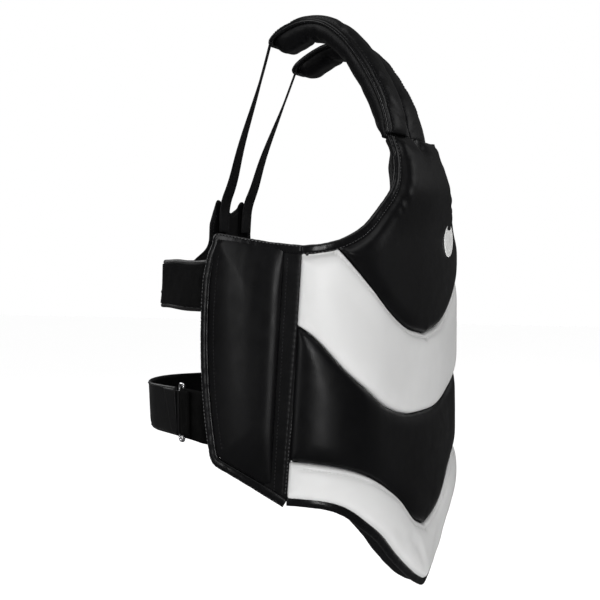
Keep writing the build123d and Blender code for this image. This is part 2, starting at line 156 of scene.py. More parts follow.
# ---------------------------------------------------------------- paths and outlines
class Path:
    """A line in one plane: runs (length, 0) are straight and (radius, turn) are arcs, left turns positive.

    Lift is a distance to the left of the walk.
    """

    def __init__(self, start, heading, runs):
        self.start = start
        self.heading = math.radians(heading)
        self.runs = runs
        self.lengths = [size if turn == 0 else size * math.radians(abs(turn)) for size, turn in runs]
        self.length = sum(self.lengths)

    def at(self, s, lift=0.0):
        """Points at lengths s, as two arrays; past either end the last run goes on."""
        s = np.asarray(s, float)
        x = np.full(s.shape, self.start[0])
        y = np.full(s.shape, self.start[1])
        heading = np.full(s.shape, self.heading)
        last = len(self.runs) - 1
        for index, ((size, turn), length) in enumerate(zip(self.runs, self.lengths)):
            part = s if index == last else np.minimum(s, length)
            s = s - part
            if turn == 0:
                x = x + part * np.cos(heading)
                y = y + part * np.sin(heading)
            else:
                hand = 1 if turn > 0 else -1
                after = heading + hand * part / size
                x = x + hand * size * (np.sin(after) - np.sin(heading))
                y = y - hand * size * (np.cos(after) - np.cos(heading))
                heading = after
        return x - lift * np.sin(heading), y + lift * np.cos(heading)


def rounded(points, radii):
    """A path along a polyline whose corners are rounded."""
    legs = [(b[0] - a[0], b[1] - a[1]) for a, b in zip(points, points[1:])]
    headings = [math.degrees(math.atan2(dy, dx)) for dx, dy in legs]
    runs = []
    used = 0.0
    for index, radius in enumerate(radii):
        turn = (headings[index + 1] - headings[index] + 180.0) % 360.0 - 180.0
        reach = radius * math.tan(math.radians(abs(turn)) / 2)
        runs.append((math.hypot(*legs[index]) - used - reach, 0.0))
        runs.append((radius, turn))
        used = reach
    runs.append((math.hypot(*legs[-1]) - used, 0.0))
    return Path(points[0], headings[0], runs)


def walked(points):
    """The length walked along a polyline to each of its points."""
    return np.concatenate([[0], np.cumsum(np.linalg.norm(np.diff(points, axis=0), axis=1))])


def interpolate(at, lengths, points):
    """The places on a polyline at some lengths along it."""
    return np.stack([np.interp(at, lengths, points[:, k]) for k in range(points.shape[1])], -1)


def resample(points, step=STEP):
    """The same polyline with evenly spaced points."""
    points = np.asarray(points, float)
    lengths = walked(points)
    count = max(2, int(round(lengths[-1] / step)) + 1)
    return interpolate(np.linspace(0, lengths[-1], count), lengths, points)


def smooth(points):
    """A smooth curve through points (cubic pieces with chord-length tangents), evenly sampled."""
    p = np.asarray(points, float)
    t = walked(p)
    slope = np.gradient(p, t, axis=0)
    out = []
    for k in range(len(p) - 1):
        h = t[k + 1] - t[k]
        w = np.linspace(0, 1, 25)[:, None]
        out.append((2 * w**3 - 3 * w**2 + 1) * p[k] + (w**3 - 2 * w**2 + w) * h * slope[k]
                   + (3 * w**2 - 2 * w**3) * p[k + 1] + (w**3 - w**2) * h * slope[k + 1])
    return resample(np.concatenate(out))


def arc(a, b, c):
    """The circular arc from a through b to c."""
    (ax, ay), (bx, by), (cx, cy) = a, b, c
    d = 2 * (ax * (by - cy) + bx * (cy - ay) + cx * (ay - by))
    ux = ((ax**2 + ay**2) * (by - cy) + (bx**2 + by**2) * (cy - ay) + (cx**2 + cy**2) * (ay - by)) / d
    uy = ((ax**2 + ay**2) * (cx - bx) + (bx**2 + by**2) * (ax - cx) + (cx**2 + cy**2) * (bx - ax)) / d
    radius = math.hypot(ax - ux, ay - uy)
    start, middle, end = (math.atan2(q[1] - uy, q[0] - ux) for q in (a, b, c))
    full = 2 * math.pi
    turn = (end - start) % full
    if (middle - start) % full > turn:
        turn -= full
    angles = start + np.linspace(0, turn, 40)
    return resample(np.stack([ux + radius * np.cos(angles), uy + radius * np.sin(angles)], -1))


def meet(a, b):
    """Curve a up to where it crosses curve b, and b from there on."""
    for i in range(len(a) - 1):
        p, r = a[i], a[i + 1] - a[i]
        q, s = b[:-1], np.diff(b, axis=0)
        cross = r[0] * s[:, 1] - r[1] * s[:, 0]
        cross = np.where(np.abs(cross) < 1e-15, 1e-15, cross)
        gap = q - p
        t = (gap[:, 0] * s[:, 1] - gap[:, 1] * s[:, 0]) / cross
        u = (gap[:, 0] * r[1] - gap[:, 1] * r[0]) / cross
        hits = np.nonzero((t >= 0) & (t <= 1) & (u >= 0) & (u <= 1))[0]
        if len(hits):
            j = hits[0]
            point = p + t[j] * r
            return np.vstack([a[:i + 1], point]), np.vstack([point, b[j + 1:]])
    raise ValueError("the curves don't cross")


def chain(*curves):
    """Curves joined end to end, without doubled points."""
    points = [curves[0][0]]
    for curve in curves:
        for point in curve:
            if np.linalg.norm(point - points[-1]) > 2e-4:
                points.append(point)
    return np.array(points)


def whole(half):
    """The closed outline whose right half is given, from the middle line round to the middle line."""
    other = half[::-1] * (-1, 1)
    return np.vstack([half, other[1:-1]])


# ---------------------------------------------------------------- the padded body as a surface
PLAN = Path((0.0, FRONT_Y), 180.0, PLAN_RUNS)
S_TABLE = np.linspace(0.0, 0.36, 1441)
X_TABLE, Y_TABLE = PLAN.at(S_TABLE)
WIDEST = int(np.argmin(X_TABLE))


def s_at_x(x):
    """Plan length at a distance from the middle line."""
    return np.interp(x, -X_TABLE[:WIDEST], S_TABLE[:WIDEST])


def s_at_y(y):
    """Plan length at a Y, on either side."""
    return np.interp(y, Y_TABLE, S_TABLE)


def bell(distances, width):
    """1 at a place, fading evenly to 0 on both sides of it."""
    return np.exp(-(distances / width) ** 2)


def torso(s, z, lift):
    """Points of the body; s is the plan length from the middle line, positive to the wearer's right.

    The chest stands a little forward of the straight wall, and leans back again where the straps go on.
    """
    across = np.clip((0.150 - np.abs(s)) / 0.05, 0, 1)
    z = np.asarray(z, float)
    forward = 0.0066 * bell(z - 0.085, 0.032) + 0.0030 * bell(z + 0.285, 0.028)
    back = 0.0090 * bell(z - 0.155, 0.020) + 0.0032 * bell(z + 0.165, 0.045)
    x, y = PLAN.at(np.abs(s), lift + across * (forward - back))
    x = np.where(np.asarray(s) < 0, -x, x) + 0.010 * np.clip((-0.335 - z) / 0.058, 0, 1) ** 2
    return np.stack([x, y, np.broadcast_to(z, x.shape)], -1)


def front_curve(points):
    """A curve given in front view, as plan length and height."""
    curve = smooth(points)
    return np.stack([s_at_x(curve[:, 0]), curve[:, 1]], -1)


def side_curve(curve):
    """A curve given in side view, as plan length and height."""
    return np.stack([s_at_y(curve[:, 0]), curve[:, 1]], -1)


def seam_curve(behind=0.0):
    """The side seam from below the hem to above the armhole, or a line behind it."""
    slope = (SEAM_TOP[0] - SEAM_FOOT[0]) / (SEAM_TOP[1] - SEAM_FOOT[1])
    z = np.linspace(-0.30, 0.05, 90)
    y = SEAM_FOOT[0] + slope * (z - SEAM_FOOT[1])
    return np.stack([s_at_y(y) + behind, z], -1)


SEAM = seam_curve()
HEM_LINE, _ = meet(front_curve(HEM), SEAM)
ARM_LINE = meet(SEAM, front_curve(ARMHOLE))[1]
V_TOP = meet(front_curve(UPPER_V_TOP), ARM_LINE)
V_FOOT, _ = meet(front_curve(UPPER_V_FOOT), SEAM)
LOW_TOP, _ = meet(front_curve(LOWER_V_TOP), SEAM)
NECK_LINE = front_curve(NECK)


def seam_between(low, high):
    """The part of the seam between the ends of two curves."""
    between = SEAM[(SEAM[:, 1] > low[-1, 1]) & (SEAM[:, 1] < high[-1, 1])]
    return np.vstack([low[-1], between, high[-1]])


ARM_TO_V = meet(ARM_LINE, front_curve(UPPER_V_TOP))[0]
NECK_EDGE = resample(np.array([ARM_LINE[-1], NECK_LINE[-1]]))
FRONT_HALVES = {
    "chest_panel": chain(V_TOP[0], V_TOP[1], NECK_EDGE, NECK_LINE[::-1]),
    "upper_chevron": chain(V_FOOT, seam_between(V_FOOT, ARM_LINE[:1]), ARM_TO_V, V_TOP[0][::-1]),
    "belly_panel": chain(LOW_TOP, seam_between(LOW_TOP, V_FOOT), V_FOOT[::-1]),
    "lower_chevron": chain(HEM_LINE, seam_between(HEM_LINE, LOW_TOP), LOW_TOP[::-1]),
}
FRONT_HALF = chain(HEM_LINE, seam_between(HEM_LINE, ARM_LINE[:1]), ARM_LINE, NECK_EDGE, NECK_LINE[::-1])


def soften(curve, reach):
    """A curve with its corners eased over a distance."""
    fine = resample(curve, 0.001)
    width = max(1, int(reach / 0.001))
    kernel = np.hanning(2 * width + 3)[1:-1]
    kernel /= kernel.sum()
    padded = np.vstack([2 * fine[0] - fine[width:0:-1], fine, 2 * fine[-1] - fine[-2:-width - 2:-1]])
    eased = np.stack([np.convolve(padded[:, k], kernel, "valid") for k in range(2)], -1)
    eased[0], eased[-1] = fine[0], fine[-1]
    return resample(eased)


def wing_outline(behind):
    """The closed outline of a wing behind a line at a distance behind the side seam."""
    top = side_curve(resample(np.array([SEAM_TOP, WING_HEAD])))
    rear = side_curve(arc(WING_HEAD, WING_BACK, WING_HEEL))
    foot = side_curve(arc(WING_HEEL, WING_BELLY, SEAM_FOOT))
    free = soften(chain(top, rear, foot), 0.006)
    if not behind:
        return free, np.vstack([free, seam_between(free[-1:], free[:1])[1:-1]])
    line = seam_curve(behind)
    inner = free[free[:, 0] > np.interp(free[:, 1], line[:, 1], line[:, 0]) + 5e-4]
    ends = [np.array([np.interp(z, line[:, 1], line[:, 0]), z]) for z in (inner[0, 1], inner[-1, 1])]
    closing = resample(np.array([ends[1], ends[0]]))
    return inner, np.vstack([inner, closing])


# ---------------------------------------------------------------- meshes
def add_mesh(name, points, faces, material, smooth_shading=True):
    """A new object of these points and faces."""
    mesh = bpy.data.meshes.new(name)
    mesh.from_pydata([tuple(p) for p in points], [], [tuple(int(i) for i in f) for f in faces])
    mesh.validate()
    mesh.update()
    mesh.materials.append(material)
    mesh.polygons.foreach_set("use_smooth", [smooth_shading] * len(mesh.polygons))
    piece = bpy.data.objects.new(name, mesh)
    bpy.context.scene.collection.objects.link(piece)
    return piece


def distance(points, line, closed=False):
    """Distance of each point to a polyline, and the length along it of the nearest place."""
    ends = np.roll(line, -1, axis=0) if closed else line[1:]
    starts = line if closed else line[:-1]
    run = ends - starts
    size = np.maximum((run**2).sum(1), 1e-18)
    along = np.concatenate([[0], np.cumsum(np.sqrt(size))])[:-1]
    best = np.full(len(points), np.inf)
    place = np.zeros(len(points))
    for start, r, length2, s0 in zip(starts, run, size, along):
        t = np.clip(((points - start) @ r) / length2, 0, 1)
        d = np.linalg.norm(points - start - t[:, None] * r, axis=1)
        nearer = d < best
        best[nearer] = d[nearer]
        place[nearer] = (s0 + t * math.sqrt(length2))[nearer]
    return best, place


def inside(points, outline):
    """Which points are inside a closed outline."""
    result = np.zeros(len(points), bool)
    x, y = points[:, 0], points[:, 1]
    for (x1, y1), (x2, y2) in zip(outline, np.roll(outline, -1, axis=0)):
        crosses = (y1 > y) != (y2 > y)
        if y1 != y2:
            result ^= crosses & (x < (x2 - x1) * (y - y1) / (y2 - y1) + x1)
    return result


def facing_in(outline):
    """A closed outline turned anticlockwise, and the inward direction at each of its points."""
    x, z = outline[:, 0], outline[:, 1]
    if np.sum(x * np.roll(z, -1) - np.roll(x, -1) * z) < 0:
        outline = outline[::-1]
    run = np.roll(outline, -1, axis=0) - np.roll(outline, 1, axis=0)
    return outline, np.stack([-run[:, 1], run[:, 0]], -1) / np.linalg.norm(run, axis=1)[:, None]


def fill(outline, rings, spacing):
    """Points and triangles inside a closed outline, with rows of points at some distances from it."""
    outline, inward = facing_in(outline)
    extra = []
    for ring in rings:
        row = outline + ring * inward
        row = row[inside(row, outline)]
        extra.append(row[distance(row, outline, True)[0] > 0.93 * ring])
    low, high = outline.min(0), outline.max(0)
    rows = np.arange(low[1], high[1], spacing * 0.866)
    grid = []
    for k, z in enumerate(rows):
        across = np.arange(low[0] + (k % 2) * spacing / 2, high[0], spacing)
        grid.append(np.stack([across, np.full(len(across), z)], -1))
    grid = np.vstack(grid)
    grid = grid[inside(grid, outline)]
    grid = grid[distance(grid, outline, True)[0] > rings[-1] + 0.6 * spacing]
    points = np.vstack([outline, *extra, grid])
    count = len(outline)
    edges = [(k, (k + 1) % count) for k in range(count)]
    found = delaunay_2d_cdt([Vector(p) for p in points], edges, [], 1, 1e-7)
    verts = np.array([tuple(v) for v in found[0]])
    origins = found[3]
    rim = np.array([any(o < count for o in own) for own in origins])
    return verts, np.array(found[2]), rim


def crown(d, reach, power=2.0):
    """From 0 at an edge, rising round to 1 at a distance."""
    t = np.clip(d / reach, 0, 1)
    return (1 - (1 - t) ** power) ** (1 / power)


def ease(d, reach):
    """From 0 at an edge, rising gently at both ends, to 1 at a distance."""
    t = np.clip(d / reach, 0, 1)
    return t * t * (3 - 2 * t)


def noise_at(points, scale, offset=0.0):
    """Smooth noise at points, one value each."""
    return np.array([noise.noise(Vector(p) * scale + Vector((offset, 0, 0))) for p in points])


def wobble(*coordinates):
    """Smooth noise at points given by three coordinates, each an array or a number."""
    grids = np.broadcast_arrays(*coordinates)
    flat = [noise.noise(Vector(p)) for p in zip(*(g.ravel() for g in grids))]
    return np.array(flat).reshape(grids[0].shape)


def even(lift):
    """A pad's face at one lift."""
    return lambda flat, edge: np.full(len(flat), lift)


def eased(lift, rise, reach):
    """A pad's face at one lift, raised by an amount at the edge, or lowered where it is negative."""
    return lambda flat, edge: lift + rise * (1 - crown(edge, reach))


def soft_pad(name, outline, place, top, bottom, material, rings, free="top", spacing=SPACING, sim=None):
    """A closed stuffed piece over an outline: top and bottom give the lift from (points, edge distance).

    With sim, as (pressure, slack, cap), the free side settles as cloth. Then the mesh is subdivided once.
    """
    flat, faces, rim = fill(outline, rings, spacing)
    edge, _ = distance(flat, outline, True)
    high, low = top(flat, edge), bottom(flat, edge)
    middle = (high + low) / 2
    upper = place(flat[:, 0], flat[:, 1], np.where(rim, middle, high))
    lower = place(flat[:, 0], flat[:, 1], low)
    inner = np.nonzero(~rim)[0]
    other = np.arange(len(flat))
    other[inner] = len(flat) + np.arange(len(inner))
    points = np.vstack([upper, lower[inner]])
    outward = (place(flat[:, 0], flat[:, 1], high + 0.001) - place(flat[:, 0], flat[:, 1], high))
    each = np.cross(upper[faces[:, 1]] - upper[faces[:, 0]], upper[faces[:, 2]] - upper[faces[:, 0]])
    if (each * outward[faces].mean(1)).sum() < 0:
        faces = faces[:, ::-1]
    shell = np.vstack([faces, other[faces][:, ::-1]])
    piece = add_mesh(name, points, shell, material)
    if sim:
        moving = np.zeros(len(points), bool)
        moving[inner if free == "top" else other[inner]] = True
        settle(piece, moving, *sim)
    subdivide(piece)
    return piece


def settle(piece, moving, pressure, slack, cap):
    """Lets the moving points settle as sewn cloth over their filling; the others stay."""
    group = piece.vertex_groups.new(name="held")
    group.add([int(i) for i in np.nonzero(~moving)[0]], 1.0, "REPLACE")
    group.add([int(i) for i in np.nonzero(moving)[0]], CLOTH_HOLD, "REPLACE")
    cloth = piece.modifiers.new("settle", "CLOTH")
    settings = cloth.settings
    settings.quality = 5
    settings.mass = 0.25
    settings.tension_stiffness = 30
    settings.compression_stiffness = 30
    settings.shear_stiffness = 12
    settings.bending_stiffness = 2.0
    settings.use_pressure = True
    settings.uniform_pressure_force = pressure
    settings.effector_weights.gravity = 0
    settings.vertex_group_mass = "held"
    settings.pin_stiffness = 1.0
    settings.shrink_min = -slack
    scene = bpy.context.scene
    for index in range(1, CLOTH_FRAMES + 1):
        scene.frame_set(index)
    shaped = piece.evaluated_get(bpy.context.evaluated_depsgraph_get())
    after = np.array([v.co for v in shaped.data.vertices])
    before = np.array([v.co for v in piece.data.vertices])
    move = after - before
    size = np.maximum(np.linalg.norm(move, axis=1), 1e-9)
    move *= (cap * np.tanh(size / cap) / size)[:, None]
    piece.modifiers.remove(cloth)
    scene.frame_set(1)
    piece.data.vertices.foreach_set("co", (before + move).astype(np.float32).ravel())
    piece.data.update()


def subdivide(piece):
    """One real subdivision of the mesh."""
    modifier = piece.modifiers.new("finer", "SUBSURF")
    modifier.levels = 1
    shaped = piece.evaluated_get(bpy.context.evaluated_depsgraph_get())
    mesh = bpy.data.meshes.new_from_object(shaped)
    piece.modifiers.remove(modifier)
    piece.vertex_groups.clear()
    old = piece.data
    name = old.name
    piece.data = mesh
    bpy.data.meshes.remove(old)
    mesh.name = name


def tube_faces(rows, around, base=0):
    """The faces of a tube whose rows of points come one after another."""
    return [(base + i * around + k, base + i * around + (k + 1) % around,
             base + (i + 1) * around + (k + 1) % around, base + (i + 1) * around + k)
            for i in range(rows - 1) for k in range(around)]


def sweep(name, centre, across, normal, section, material):
    """A solid whose section, as (across, normal) pairs or one list of pairs a station, follows a line."""
    centre, across, normal = (np.asarray(a, float) for a in (centre, across, normal))
    section = np.asarray(section, float)
    if section.ndim == 2:
        section = np.broadcast_to(section, (len(centre), *section.shape))
    count, around = section.shape[:2]
    points = (centre[:, None] + section[..., :1] * across[:, None] + section[..., 1:] * normal[:, None])
    points = points.reshape(-1, 3)
    faces = tube_faces(count, around)
    for start, first in ((0, True), ((count - 1) * around, False)):
        points = np.vstack([points, points[start:start + around].mean(0)])
        hub = len(points) - 1
        for k in range(around):
            pair = (start + k, start + (k + 1) % around)
            faces.append((*(pair[::-1] if first else pair), hub))
    centre_of = points[faces[0][0]] + points[faces[0][2]]
    first = [points[i] for i in faces[0]]
    out = np.cross(first[1] - first[0], first[3] - first[0])
    if out @ (centre_of / 2 - (centre[0] + centre[1]) / 2) < 0:
        faces = [f[::-1] for f in faces]
    return add_mesh(name, points, faces, material)


def oval(width, thick, count, power):
    """A rounded section, from a circle at power 2 to nearly a rectangle at high powers."""
    angle = np.linspace(0, 2 * math.pi, count, endpoint=False)
    c, s = np.cos(angle), np.sin(angle)
    return np.stack([width / 2 * np.sign(c) * np.abs(c) ** (2 / power),
                     thick / 2 * np.sign(s) * np.abs(s) ** (2 / power)], -1)


def unit(vectors):
    """Vectors of length 1."""
    return vectors / np.maximum(np.linalg.norm(vectors, axis=-1, keepdims=True), 1e-12)


def line_frames(line, place, lift):
    """Centres, outward directions in the surface and surface normals along a line drawn on a surface."""
    centre = place(line[:, 0], line[:, 1], lift)
    up = place(line[:, 0], line[:, 1], lift + TINY)
    normal = unit(up - centre)
    across = unit(np.cross(unit(np.gradient(centre, axis=0)), normal))
    return centre, across, normal


def stitches(name, centre, across, normal, material):
    """A row of stitches along a line, each a short thread that dips in at both ends."""
    step = walked(centre)
    at = (np.arange(int(step[-1] / STITCH_PITCH)) + 0.5) * STITCH_PITCH
    mid = interpolate(at, step, centre)
    side = unit(interpolate(at, step, across))
    up = unit(interpolate(at, step, normal))
    run = unit(np.cross(up, side))
    points, faces = [], []
    angles = np.linspace(0, 2 * math.pi, STITCH_AROUND, endpoint=False)
    ring = [(math.cos(a), math.sin(a)) for a in angles]
    half = [(0.5, 0.35, -0.7), (0.28, 0.95, 0.1)]        # along, thickness and height of each station
    stations = [(-a, b, c) for a, b, c in half] + [(0.0, 1.0, 0.35)] + half[::-1]
    for m, sd, u, r in zip(mid, side, up, run):
        base = len(points)
        for along, size, height in stations:
            for c, s in ring:
                points.append(m + r * along * STITCH_LENGTH + sd * c * THREAD_RADIUS * size
                              + u * THREAD_RADIUS * (s * size + height))
        faces += tube_faces(len(stations), STITCH_AROUND, base)
        faces.append(tuple(base + k for k in reversed(range(STITCH_AROUND))))
        faces.append(tuple(len(points) - STITCH_AROUND + k for k in range(STITCH_AROUND)))
    return add_mesh(name, points, faces, material)


def joint_where(key, value):
    """The joint of the frame with a value at a key."""
    return next(joint for joint in frame["joints"] if joint[key] == value)


def fit(piece, body, slot, node=None):
    """Hangs a piece on the body it rides on and hides the CAD node it stands for. Its slot is not used."""
    if body:
        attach(piece, body)
    if node:
        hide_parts(node)


def tree_of(piece):
    """A finished piece as a tree that rays can be cast on."""
    mesh = piece.data
    return BVHTree.FromPolygons([v.co for v in mesh.vertices], [p.vertices for p in mesh.polygons])


def surface_line(piece, line, place, inner=False):
    """Where a line drawn on a surface meets a finished piece: centres, across and normals."""
    tree = tree_of(piece)
    sign = -1 if inner else 1
    outer, _, direction = line_frames(line, place, sign * RAY_START)
    hits = [tree.ray_cast(Vector(o), Vector(-sign * d)) for o, d in zip(outer, direction)]
    kept = [k for k, h in enumerate(hits) if h[0] is not None]
    centre = np.array([hits[k][0] for k in kept])
    normal = np.array([hits[k][1] for k in kept])
    flip = np.sign((normal * sign * direction[kept]).sum(1))
    normal = unit(normal * flip[:, None])
    run = unit(np.gradient(centre, axis=0))
    return centre + normal * TINY, unit(np.cross(run, normal)), normal


# ---------------------------------------------------------------- materials
def new_material(name, color, roughness, **constants):
    """A material with a Principled shader, its nodes and links."""
    material = bpy.data.materials.new(name)
    material.use_nodes = True
    nodes, links = material.node_tree.nodes, material.node_tree.links
    shader = nodes["Principled BSDF"]
    shader.inputs["Base Color"].default_value = (*color, 1)
    shader.inputs["Roughness"].default_value = roughness
    for socket, value in constants.items():
        shader.inputs[socket.replace("_", " ")].default_value = value
    material.diffuse_color = (*color, 1)
    coords = nodes.new("ShaderNodeTexCoord")
    return material, nodes, links, shader, coords.outputs["Object"]


def noise_node(nodes, links, vector, scale, detail=3.0, roughness=0.5):
    """A noise texture at points per metre."""
    node = nodes.new("ShaderNodeTexNoise")
    node.inputs["Scale"].default_value = scale
    node.inputs["Detail"].default_value = detail
    node.inputs["Roughness"].default_value = roughness
    links.new(vector, node.inputs["Vector"])
    return node.outputs["Fac"]


def cells(nodes, links, vector, scale, feature="F1"):
    """A cell texture at cells per metre."""
    node = nodes.new("ShaderNodeTexVoronoi")
    node.feature = feature
    node.inputs["Scale"].default_value = scale
    links.new(vector, node.inputs["Vector"])
    return node.outputs["Distance"]


def ramp(nodes, links, value, low, high, out_low, out_high):
    """A value mapped from one range to another."""
    node = nodes.new("ShaderNodeMapRange")
    for socket, number in zip(("From Min", "From Max", "To Min", "To Max"), (low, high, out_low, out_high)):
        node.inputs[socket].default_value = number
    links.new(value, node.inputs["Value"])
    return node.outputs["Result"]


def tint(nodes, links, value, dark, light, shader):
    """Base colour between two colours."""
    node = nodes.new("ShaderNodeMix")
    node.data_type = "RGBA"
    node.inputs["A"].default_value = (*dark, 1)
    node.inputs["B"].default_value = (*light, 1)
    links.new(value, node.inputs["Factor"])
    links.new(node.outputs["Result"], shader.inputs["Base Color"])


def bump(nodes, links, heights, shader):
    """Bumps laid on one another, each (height, strength, distance)."""
    below = None
    for height, strength, depth in heights:
        node = nodes.new("ShaderNodeBump")
        node.inputs["Strength"].default_value = strength
        node.inputs["Distance"].default_value = depth
        links.new(height, node.inputs["Height"])
        if below:
            links.new(below, node.inputs["Normal"])
        below = node.outputs["Normal"]
    links.new(below, shader.inputs["Normal"])


def leather(name, dark, light, rough, grain=900.0, depth=0.00012, **constants):
    """Grained synthetic leather: pebbles, pores, faint creases and uneven gloss."""
    material, nodes, links, shader, at = new_material(name, light, rough, **constants)
    pebbles = cells(nodes, links, at, grain, "SMOOTH_F1")
    folds = ramp(nodes, links, cells(nodes, links, at, grain / 4, "DISTANCE_TO_EDGE"), 0.0, 0.12, 0.0, 1.0)
    soft = noise_node(nodes, links, at, 60, 4)
    broad = noise_node(nodes, links, at, 9, 3)
    tint(nodes, links, ramp(nodes, links, broad, 0.35, 0.65, 0.0, 1.0), dark, light, shader)
    links.new(ramp(nodes, links, soft, 0.3, 0.7, rough - 0.05, rough + 0.06), shader.inputs["Roughness"])
    bump(nodes, links, [(pebbles, 0.30, depth), (folds, 0.10, depth), (soft, 0.10, 0.0004)], shader)
    return material


def cloth(name, dark, light, rough, pitch, **constants):
    """Woven cloth: two crossed sets of threads at a pitch, with fuzz."""
    material, nodes, links, shader, at = new_material(name, light, rough, **constants)
    waves = []
    for axis in ("X", "Z"):
        wave = nodes.new("ShaderNodeTexWave")
        wave.bands_direction = axis
        wave.inputs["Scale"].default_value = 0.314 / pitch
        wave.inputs["Distortion"].default_value = 0.6
        wave.inputs["Detail"].default_value = 1.0
        links.new(at, wave.inputs["Vector"])
        waves.append(wave.outputs["Fac"])
    weave = nodes.new("ShaderNodeMath")
    weave.operation = "MULTIPLY"
    for wave, socket in zip(waves, weave.inputs):
        links.new(wave, socket)
    fuzz = noise_node(nodes, links, at, 1600, 2)
    worn = noise_node(nodes, links, at, 40, 3)
    tint(nodes, links, ramp(nodes, links, worn, 0.3, 0.7, 0.0, 1.0), dark, light, shader)
    bump(nodes, links, [(weave.outputs["Value"], 0.6, pitch / 4), (fuzz, 0.4, pitch / 5)], shader)
    return material


def pile(name, dark, light, rough, scale, depth, **constants):
    """Short dense pile: the velvet of loop tape or the points of hook tape."""
    material, nodes, links, shader, at = new_material(name, light, rough, **constants)
    tufts = noise_node(nodes, links, at, scale, 4, 0.7)
    patches = noise_node(nodes, links, at, scale / 14, 3, 0.6)
    tint(nodes, links, ramp(nodes, links, patches, 0.35, 0.7, 0.0, 1.0), dark, light, shader)
    bump(nodes, links, [(tufts, 0.9, depth), (patches, 0.5, depth * 1.5)], shader)
    return material


def metal(name, color, rough):
    """Polished plating with faint drawing marks."""
    material, nodes, links, shader, at = new_material(name, color, rough, Metallic=1.0)
    marks = noise_node(nodes, links, at, 300, 3)
    links.new(ramp(nodes, links, marks, 0.3, 0.7, rough - 0.05, rough + 0.1), shader.inputs["Roughness"])
    bump(nodes, links, [(marks, 0.15, 0.0001)], shader)
    return material


def foam_material(name, dark, light):
    """Closed-cell foam with fine pores."""
    material, nodes, links, shader, at = new_material(name, light, 0.85)
    tint(nodes, links, noise_node(nodes, links, at, 30), dark, light, shader)
    bump(nodes, links, [(cells(nodes, links, at, 700), 0.6, 0.0003)], shader)
    return material


BLACK = leather("black_leather", (0.0020, 0.0020, 0.0023), (0.0036, 0.0036, 0.0040), 0.36,
                Specular_IOR_Level=0.15)
WHITE = leather("white_leather", (0.545, 0.545, 0.542), (0.59, 0.59, 0.587), 0.42, depth=0.0001,
                Specular_IOR_Level=0.35)
EDGING = leather("binding_leather", (0.0022, 0.0022, 0.0025), (0.0042, 0.0042, 0.0046), 0.24, 1200.0,
                 Specular_IOR_Level=0.22)
BADGE = leather("badge_leather", (0.66, 0.66, 0.65), (0.76, 0.76, 0.75), 0.35, 1400.0, 0.00004)
LINING = cloth("lining_nylon", (0.0020, 0.0020, 0.0024), (0.0045, 0.0045, 0.0050), 0.55, 0.0007,
               Specular_IOR_Level=0.12)
WEBBING = cloth("webbing_weave", (0.0025, 0.0025, 0.003), (0.007, 0.007, 0.0075), 0.6, 0.0014,
                Specular_IOR_Level=0.15)
YOKE_CLOTH = cloth("yoke_weave", (0.0022, 0.0022, 0.0025), (0.006, 0.006, 0.0065), 0.65, 0.0010,
                   Specular_IOR_Level=0.12)
LOOP = pile("loop_pile", (0.0010, 0.0010, 0.0012), (0.0032, 0.0032, 0.0035), 0.9, 1100, 0.0005,
            Specular_IOR_Level=0.04)
HOOK = pile("hook_pile", (0.0008, 0.0008, 0.0008), (0.0022, 0.0022, 0.0022), 0.8, 900, 0.0007,
            Specular_IOR_Level=0.04)
THREAD_BLACK = cloth("black_thread", (0.005, 0.005, 0.0055), (0.012, 0.012, 0.013), 0.45, 0.0004,
                     Specular_IOR_Level=0.3)
THREAD_GREY = cloth("grey_thread", (0.035, 0.035, 0.036), (0.080, 0.080, 0.082), 0.5, 0.0004)
THREAD_WHITE = cloth("white_thread", (0.45, 0.45, 0.44), (0.60, 0.60, 0.59), 0.5, 0.0004)
CHROME = metal("ring_plating", (0.72, 0.72, 0.74), 0.18)
FOAM = foam_material("foam_cells", (0.16, 0.16, 0.17), (0.24, 0.24, 0.25))


# ---------------------------------------------------------------- front
def gathers(flat, line, reach, depth, pitch, seed, low=-1.0):
    """Small puckers in rows beside a sewn edge, above a height."""
    near, along = distance(flat, line)
    return depth * bell(near - reach, 0.55 * reach) * (flat[:, 1] > low) * wobble(along / pitch, seed, 0.3)


def crease(flat, a, b, depth, width):
    """A soft fold along a line that fades at both ends."""
    d, along = distance(flat, np.array([a, b], float))
    length = math.dist(a, b)
    fade = np.sin(np.clip(along / length, 0.02, 0.98) * math.pi) ** 0.5
    return -depth * fade * bell(d, width) + 0.45 * depth * fade * bell(d - 2 * width, width)


def mirrored(line):
    """The same line on the other half."""
    return line * (-1, 1)


def both(*lines):
    """Lines of the right half, each followed by its mirror image."""
    return [each for line in lines for each in (line, mirrored(line))]


def across_middle(half):
    """One line across the middle, from its right half."""
    return np.vstack([mirrored(half)[::-1][:-1], half])


def to_edges(flat):
    """Distance from each point to the nearest armhole, hem or neck edge."""
    return np.min([distance(flat, line)[0] for line in both(ARM_LINE, HEM_LINE, NECK_LINE)], axis=0)


def clear_of_tape(flat, edge):
    """Distance from each point to the nearest seam or inner edge of the edge tape."""
    return np.maximum(np.minimum(edge, to_edges(flat) - TAPE), 0.0)


